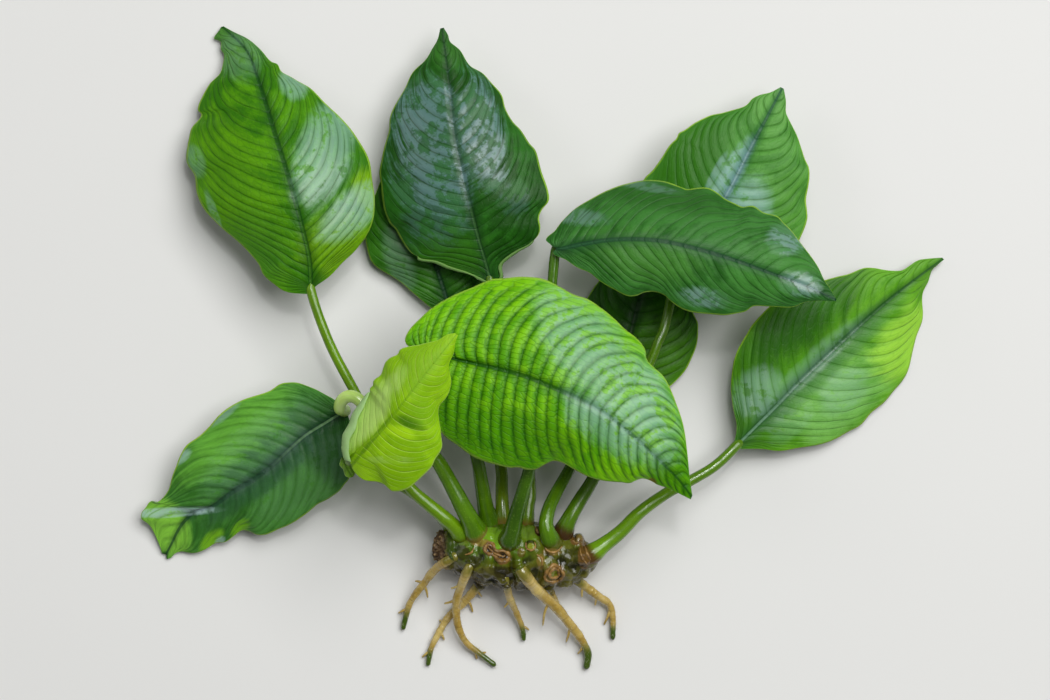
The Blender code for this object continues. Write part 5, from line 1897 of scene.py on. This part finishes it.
FRONT = LeafShape(
    "blade_front", foot=(-22.9, -5.9), heading=-25.4, length=62.1, veins=26, seed=10, quilt=0.12, rows=260,
    left_flow=VeinFlow(0.2, 0.58, 0.45), right_flow=VeinFlow(0.2, 0.45, 0.15),
    rib=outline(-30, 44, 50, 53, 100, 60, 200, 74, 300, 84, 400, 87, 500, 88, 600, 83, 700, 69, 760, 59,
        800, 50, 870, 36, 940, 20, 1000, 0),
    left=outline(-40, 50, -100, 36, -150, 38, -155, 64, -138, 98, -116, 131, -75, 170, -23, 210, 22, 243,
        65, 258, 125, 278, 192, 293, 254, 294, 314, 292, 364, 297, 423, 293, 481, 283, 530, 271, 591, 262,
        630, 248, 650, 230, 700, 218, 730, 210, 770, 190, 800, 172, 840, 146, 880, 115, 900, 98, 930, 72,
        960, 42, 980, 22, 1000, 3),
    right=outline(-35, 34, -70, 5, -70, -45, -30, -75, 30, -98, 100, -109, 120, -115, 170, -120,
        220, -124, 280, -124, 330, -120, 370, -115, 400, -106, 430, -103, 460, -94, 480, -76, 500, -60,
        530, -55, 570, -57, 620, -57, 670, -52, 710, -45, 750, -36, 780, -30, 800, -18, 820, -10, 850, -8,
        870, -9, 910, -5, 950, -5, 1000, -6),
    rib_height=(29.0, 31.0, 33.0, 34.0, 33.0, 30.0, 26.0),
    left_height=(29.0, 27.0, 26.0, 27.0, 28.0, 28.0, 26.0),
    right_height=(29.0, 27.0, 27.0, 28.0, 28.0, 27.0, 26.0),
    finish=LeafFinish(
        face=shade(120, 188, 10), deep=shade(82, 154, 0), vein=shade(28, 88, 0), rib=shade(22, 74, 6),
        vein_strength=0.62, vein_width=0.17, fine_vein_strength=0.0, cell_strength=0.26, cells_across=1.0,
        cell_length=1.2, valley=0.4, rib_line_and_glint=shade(30, 84, 8), painted_sheen=shade(136, 182, 160), painted_sheen_amount=0.6,
        gloss=0.26, film_rough=0.4, sheen_softness=0.85, sheen_ragged=0.9, sheen_holes=0.45,
        washes=(Zone(0.93, 3.0, 0.1, 6.0, shade(66, 134, 0), 0.7),
                Zone(0.1, -6.0, 0.14, 6.0, shade(78, 146, 8), 0.5),
                Zone(0.32, -9.5, 0.22, 3.0, shade(58, 122, 0), 0.7),
                Zone(0.4, -2.5, 0.16, 4.0, shade(60, 122, 0), 0.6),
                Zone(0.85, -0.9, 0.016, 0.9, shade(120, 100, 30), 1.0)),
        sheen_zones=(Zone(0.45, 19.0, 0.18, 10.0, amount=0.8, lean=-0.014),
               Zone(0.63, 7.0, 0.17, 5.5, lean=-0.008),
               Zone(0.72, 13.0, 0.13, 9.0, lean=-0.01))))

LOBE = LeafShape(
    "young_lobe", foot=(-43.5, -23.7), heading=-66.0, length=4.9, veins=5, slot=Slot.YOUNG, seed=12, rows=60,
    quilt=0.05, rib_depth=0.1, ripple=0.1, replaces=False,
    rib=outline(0, 0, 500, -3, 1000, 0),
    left=outline(0, 4, 300, 12, 700, 13, 920, 8, 1000, 2),
    right=outline(0, -4, 250, -14, 500, -12, 800, -13, 950, -7, 1000, -2),
    rib_height=(30.6, 31.2, 31.0, 30.4),
    left_height=(30.6, 31.0, 30.8, 30.4),
    right_height=(30.6, 30.2, 30.0, 30.4),
    finish=LeafFinish(
        face=shade(112, 158, 40), deep=shade(70, 116, 8), vein=shade(150, 190, 90), rib=shade(60, 100, 8),
        margin=shade(176, 208, 130), margin_start=0.9, under=shade(150, 186, 120), rib_width=0.3))

LEAVES = (TOP_LEFT, TOP, BEHIND_TOP, TOP_RIGHT, UPPER_RIGHT, BEHIND_RIGHT, RIGHT, LOWER_LEFT, LOBE, YOUNG,
          FRONT)

FOOT = shade(78, 78, 14)
LIGHT_STALK = StalkFinish(shade(112, 154, 12), shade(106, 150, 8), shade(66, 104, 4), FOOT, 0.3)
MID_STALK = StalkFinish(shade(86, 128, 10), shade(84, 128, 6), shade(44, 80, 2), FOOT, 0.3)
DARK_STALK = StalkFinish(shade(62, 100, 6), shade(72, 118, 4), shade(34, 68, 0), FOOT, 0.3)
# the hook's very pale end: its own paler green with painted light on the bend
HOOK_STALK = StalkFinish(
    shade(88, 132, 12), shade(206, 240, 128), shade(48, 86, 4), shade(128, 110, 48), 0.5, (0.55, 0.8), 0.85)
PALE_STALK = StalkFinish(
    shade(108, 134, 20), shade(84, 122, 8), shade(60, 92, 6), shade(122, 106, 40), 0.9)
BACK_STALK = StalkFinish(
    shade(92, 126, 12), shade(84, 122, 8), shade(50, 84, 4), shade(100, 84, 30), 0.8)
BROWN_STALK = StalkFinish(
    shade(84, 124, 10), shade(94, 138, 14), shade(52, 88, 4), shade(66, 44, 16), 1.5)
RIGHT_STALK = StalkFinish(
    shade(112, 158, 18), shade(86, 128, 14), shade(66, 104, 6), shade(84, 58, 20), 0.8)
STALKS = (
    StrandShape("stalk_top_left", radius=2.2, blade="blade_top_left", finish=LIGHT_STALK, route=course(
        -168, -426, 74, -178, -405, 104, -194, -387, 124, -216, -368, 134, -246, -343, 139,
        -288, -305, 140, -326, -245, 134, -371, -168, 130, -411, -91, 130, -458, -3, 134, -489, 74, 138)),
    StrandShape(
        "stalk_lower_left", radius=2.8, blade="blade_lower_left", drop=0.2, waist=1.3, finish=HOOK_STALK,
        route=course(
            -134, -426, 68, -145, -400, 108, -157, -374, 134, -174, -342, 149, -199, -295, 158,
            -229, -244, 170, -272, -202, 186, -326, -174, 200, -362, -159, 210, -383, -138, 214,
            -395, -117, 214, -411, -105, 212, -428, -105, 204, -440, -117, 188, -442, -131, 166)),
    StrandShape("stalk_front", radius=2.6, blade="blade_front", drop=2.4, finish=MID_STALK, route=course(
        -104, -410, 60, -112, -382, 80, -120, -356, 98, -125, -332, 112, -132, -288, 136,
        -141, -240, 170, -167, -156, 220, -200, -68, 260)),
    StrandShape("stalk_behind_top", radius=1.9, blade="blade_behind_top", finish=PALE_STALK, route=course(
        -81, -410, 66, -83, -380, 84, -85, -345, 86, -86, -310, 78, -88, -260, 66, -108, -156, 54,
        -139, -46, 44, -174, 42, 36)),
    StrandShape(
        "stalk_upper_right", radius=2.6, blade="blade_upper_right", drop=2.2, finish=DARK_STALK,
        route=course(
            -73, -439, 90, -69, -421, 130, -62, -398, 158, -55, -367, 174, -40, -315, 200,
            -26, -266, 215, -2, -156, 228, 16, -24, 230, 22, 86, 230, 25, 145, 234)),
    StrandShape("stalk_top", radius=1.8, blade="blade_top", finish=BACK_STALK, route=course(
        -36, -410, 66, -32, -378, 86, -28, -344, 88, -24, -310, 86, -33, -200, 88, -57, -68, 96,
        -86, 42, 100)),
    StrandShape("stalk_behind_right", radius=2.15, blade="blade_behind_right", finish=MID_STALK, route=course(
        29, -442, 82, 23, -424, 120, 15, -404, 136, 11, -382, 138, 18, -350, 128, 34, -316, 112,
        64, -262, 92, 97, -200, 66, 130, -145, 44)),
    StrandShape("stalk_top_right", radius=2.3, blade="blade_top_right", finish=BROWN_STALK, route=course(
        41, -430, 68, 48, -406, 96, 62, -374, 106, 86, -332, 104, 117, -282, 105, 174, -178, 110,
        218, -79, 110, 242, -24, 110, 255, 9, 110, 273, 53, 105)),
    StrandShape("stalk_right", radius=2.35, blade="blade_right", finish=RIGHT_STALK, route=course(
        94, -458, 96, 112, -450, 102, 134, -434, 102, 174, -403, 100, 218, -359, 100, 273, -319, 95,
        328, -290, 90, 383, -257, 84)),
    StrandShape("stalk_young", radius=1.7, blade="blade_young", drop=2.0, finish=LIGHT_STALK, route=course(
        -189, -402, 64, -215, -372, 74, -249, -341, 84, -285, -314, 92, -318, -296, 108,
        -348, -285, 158, -378, -273, 226, -404, -261, 292)))


@dataclass(frozen=True)
class Plant:
    """The whole plant: its leaves on their stalks, the rhizome and the roots."""

    leaves: tuple[LeafShape, ...] = LEAVES
    stalks: tuple[StrandShape, ...] = STALKS

    def build(self) -> None:
        """Build every piece, from the leaves down to the roots."""
        sweep = Sweep()
        rhizome = Rhizome()
        blades = {shape.node: shape for shape in self.leaves}
        for shape in self.leaves:
            Leaf(shape).build()
        stock = Stock(sides=28, lump=0.14, lump_size=3.0, ring=0.0, ring_pitch=1.0)
        lines = []
        for number, shape in enumerate(self.stalks):
            strand = Strand(shape)
            line = strand.stalk(blades[shape.blade])
            buried = float(travelled(line)[rhizome.leaving(line)])
            radii = strand.stalk_radii(line, buried)
            lines.append((line, radii))
            skin = shape.finish.material(shape.node + "_skin", buried)
            mesh = sweep.mesh(shape.node + "_skin", [(line, radii)], stock, skin, float(number))
            add_piece(shape.node + "_skin", mesh, (shape.node,))
        roots = Roots()
        root_lines = roots.lines()
        Scars().build(rhizome.build(lines, root_lines), sweep)
        roots.build(root_lines, sweep, rhizome)


@dataclass(frozen=True)
class Softbox:
    """One rectangular light over the plant, its place and sizes in metres."""

    name: str
    place: Point
    width: float
    depth: float
    radiance: float

    def build(self) -> None:
        """Hang the light and turn it towards the plant."""
        data = bpy.data.lights.new(self.name, "AREA")
        data.shape = "RECTANGLE"
        data.size, data.size_y = self.width, self.depth
        data.energy = self.radiance * math.pi * self.width * self.depth
        light = placed(self.name, data)
        light.location = self.place
        light.rotation_euler = Vector(self.place).to_track_quat("Z", "Y").to_euler()


@dataclass(frozen=True)
class Studio:
    """The floor, the camera straight above the plant and the soft light."""

    floor_size: float = 4.0
    floor_drop: float = 0.0001
    air: float = 0.14
    boxes: tuple[Softbox, ...] = (
        Softbox("key_box", (0.45, 0.45, 1.15), 1.1, 1.0, 5.3),
        Softbox("small_box", (0.12, 0.4, 1.25), 0.1, 0.1, 60.0),
        Softbox("side_box", (-1.2, 0.4, 1.0), 0.7, 0.7, 1.2))

    def camera(self) -> None:
        """Look straight down from where the plan places are seen."""
        data = bpy.data.cameras.new("camera")
        data.sensor_width = SENSOR_WIDTH
        data.lens = SENSOR_WIDTH * EYE_HEIGHT / VIEW_WIDTH
        data.clip_start = 0.01
        camera = placed("camera", data)
        camera.location = ((EYE_FOOT[0] - BOX_MIDDLE[0]) * MM, (EYE_FOOT[1] - BOX_MIDDLE[1]) * MM,
                           EYE_HEIGHT * MM)
        bpy.context.scene.camera = camera

    def floor(self) -> None:
        """Lay a plain floor just under the plant."""
        shell = bmesh.new()
        bmesh.ops.create_grid(shell, x_segments=1, y_segments=1, size=self.floor_size / 2)
        for point in shell.verts:
            point.co.z = -self.floor_drop
        mesh = closed(shell, "floor")
        mesh.materials.append(FloorFinish().material("floor"))
        floor = placed("floor", mesh)

    def build(self) -> None:
        """Set up the camera, the floor and the lights."""
        self.camera()
        self.floor()
        for box in self.boxes:
            box.build()
        world = bpy.data.worlds.new("air")
        world.use_nodes = True
        back = world.node_tree.nodes["Background"]
        back.inputs["Color"].default_value = (1.0, 1.0, 1.0, 1.0)
        back.inputs["Strength"].default_value = self.air
        bpy.context.scene.world = world
        bpy.context.scene.view_settings.view_transform = "Standard"


def main() -> None:
    """Build the studio and the plant."""
    logging.basicConfig(level=logging.INFO, format="%(name)s: %(message)s")
    Studio().build()
    Plant().build()
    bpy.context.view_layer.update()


if __name__ == "__main__":
    main()
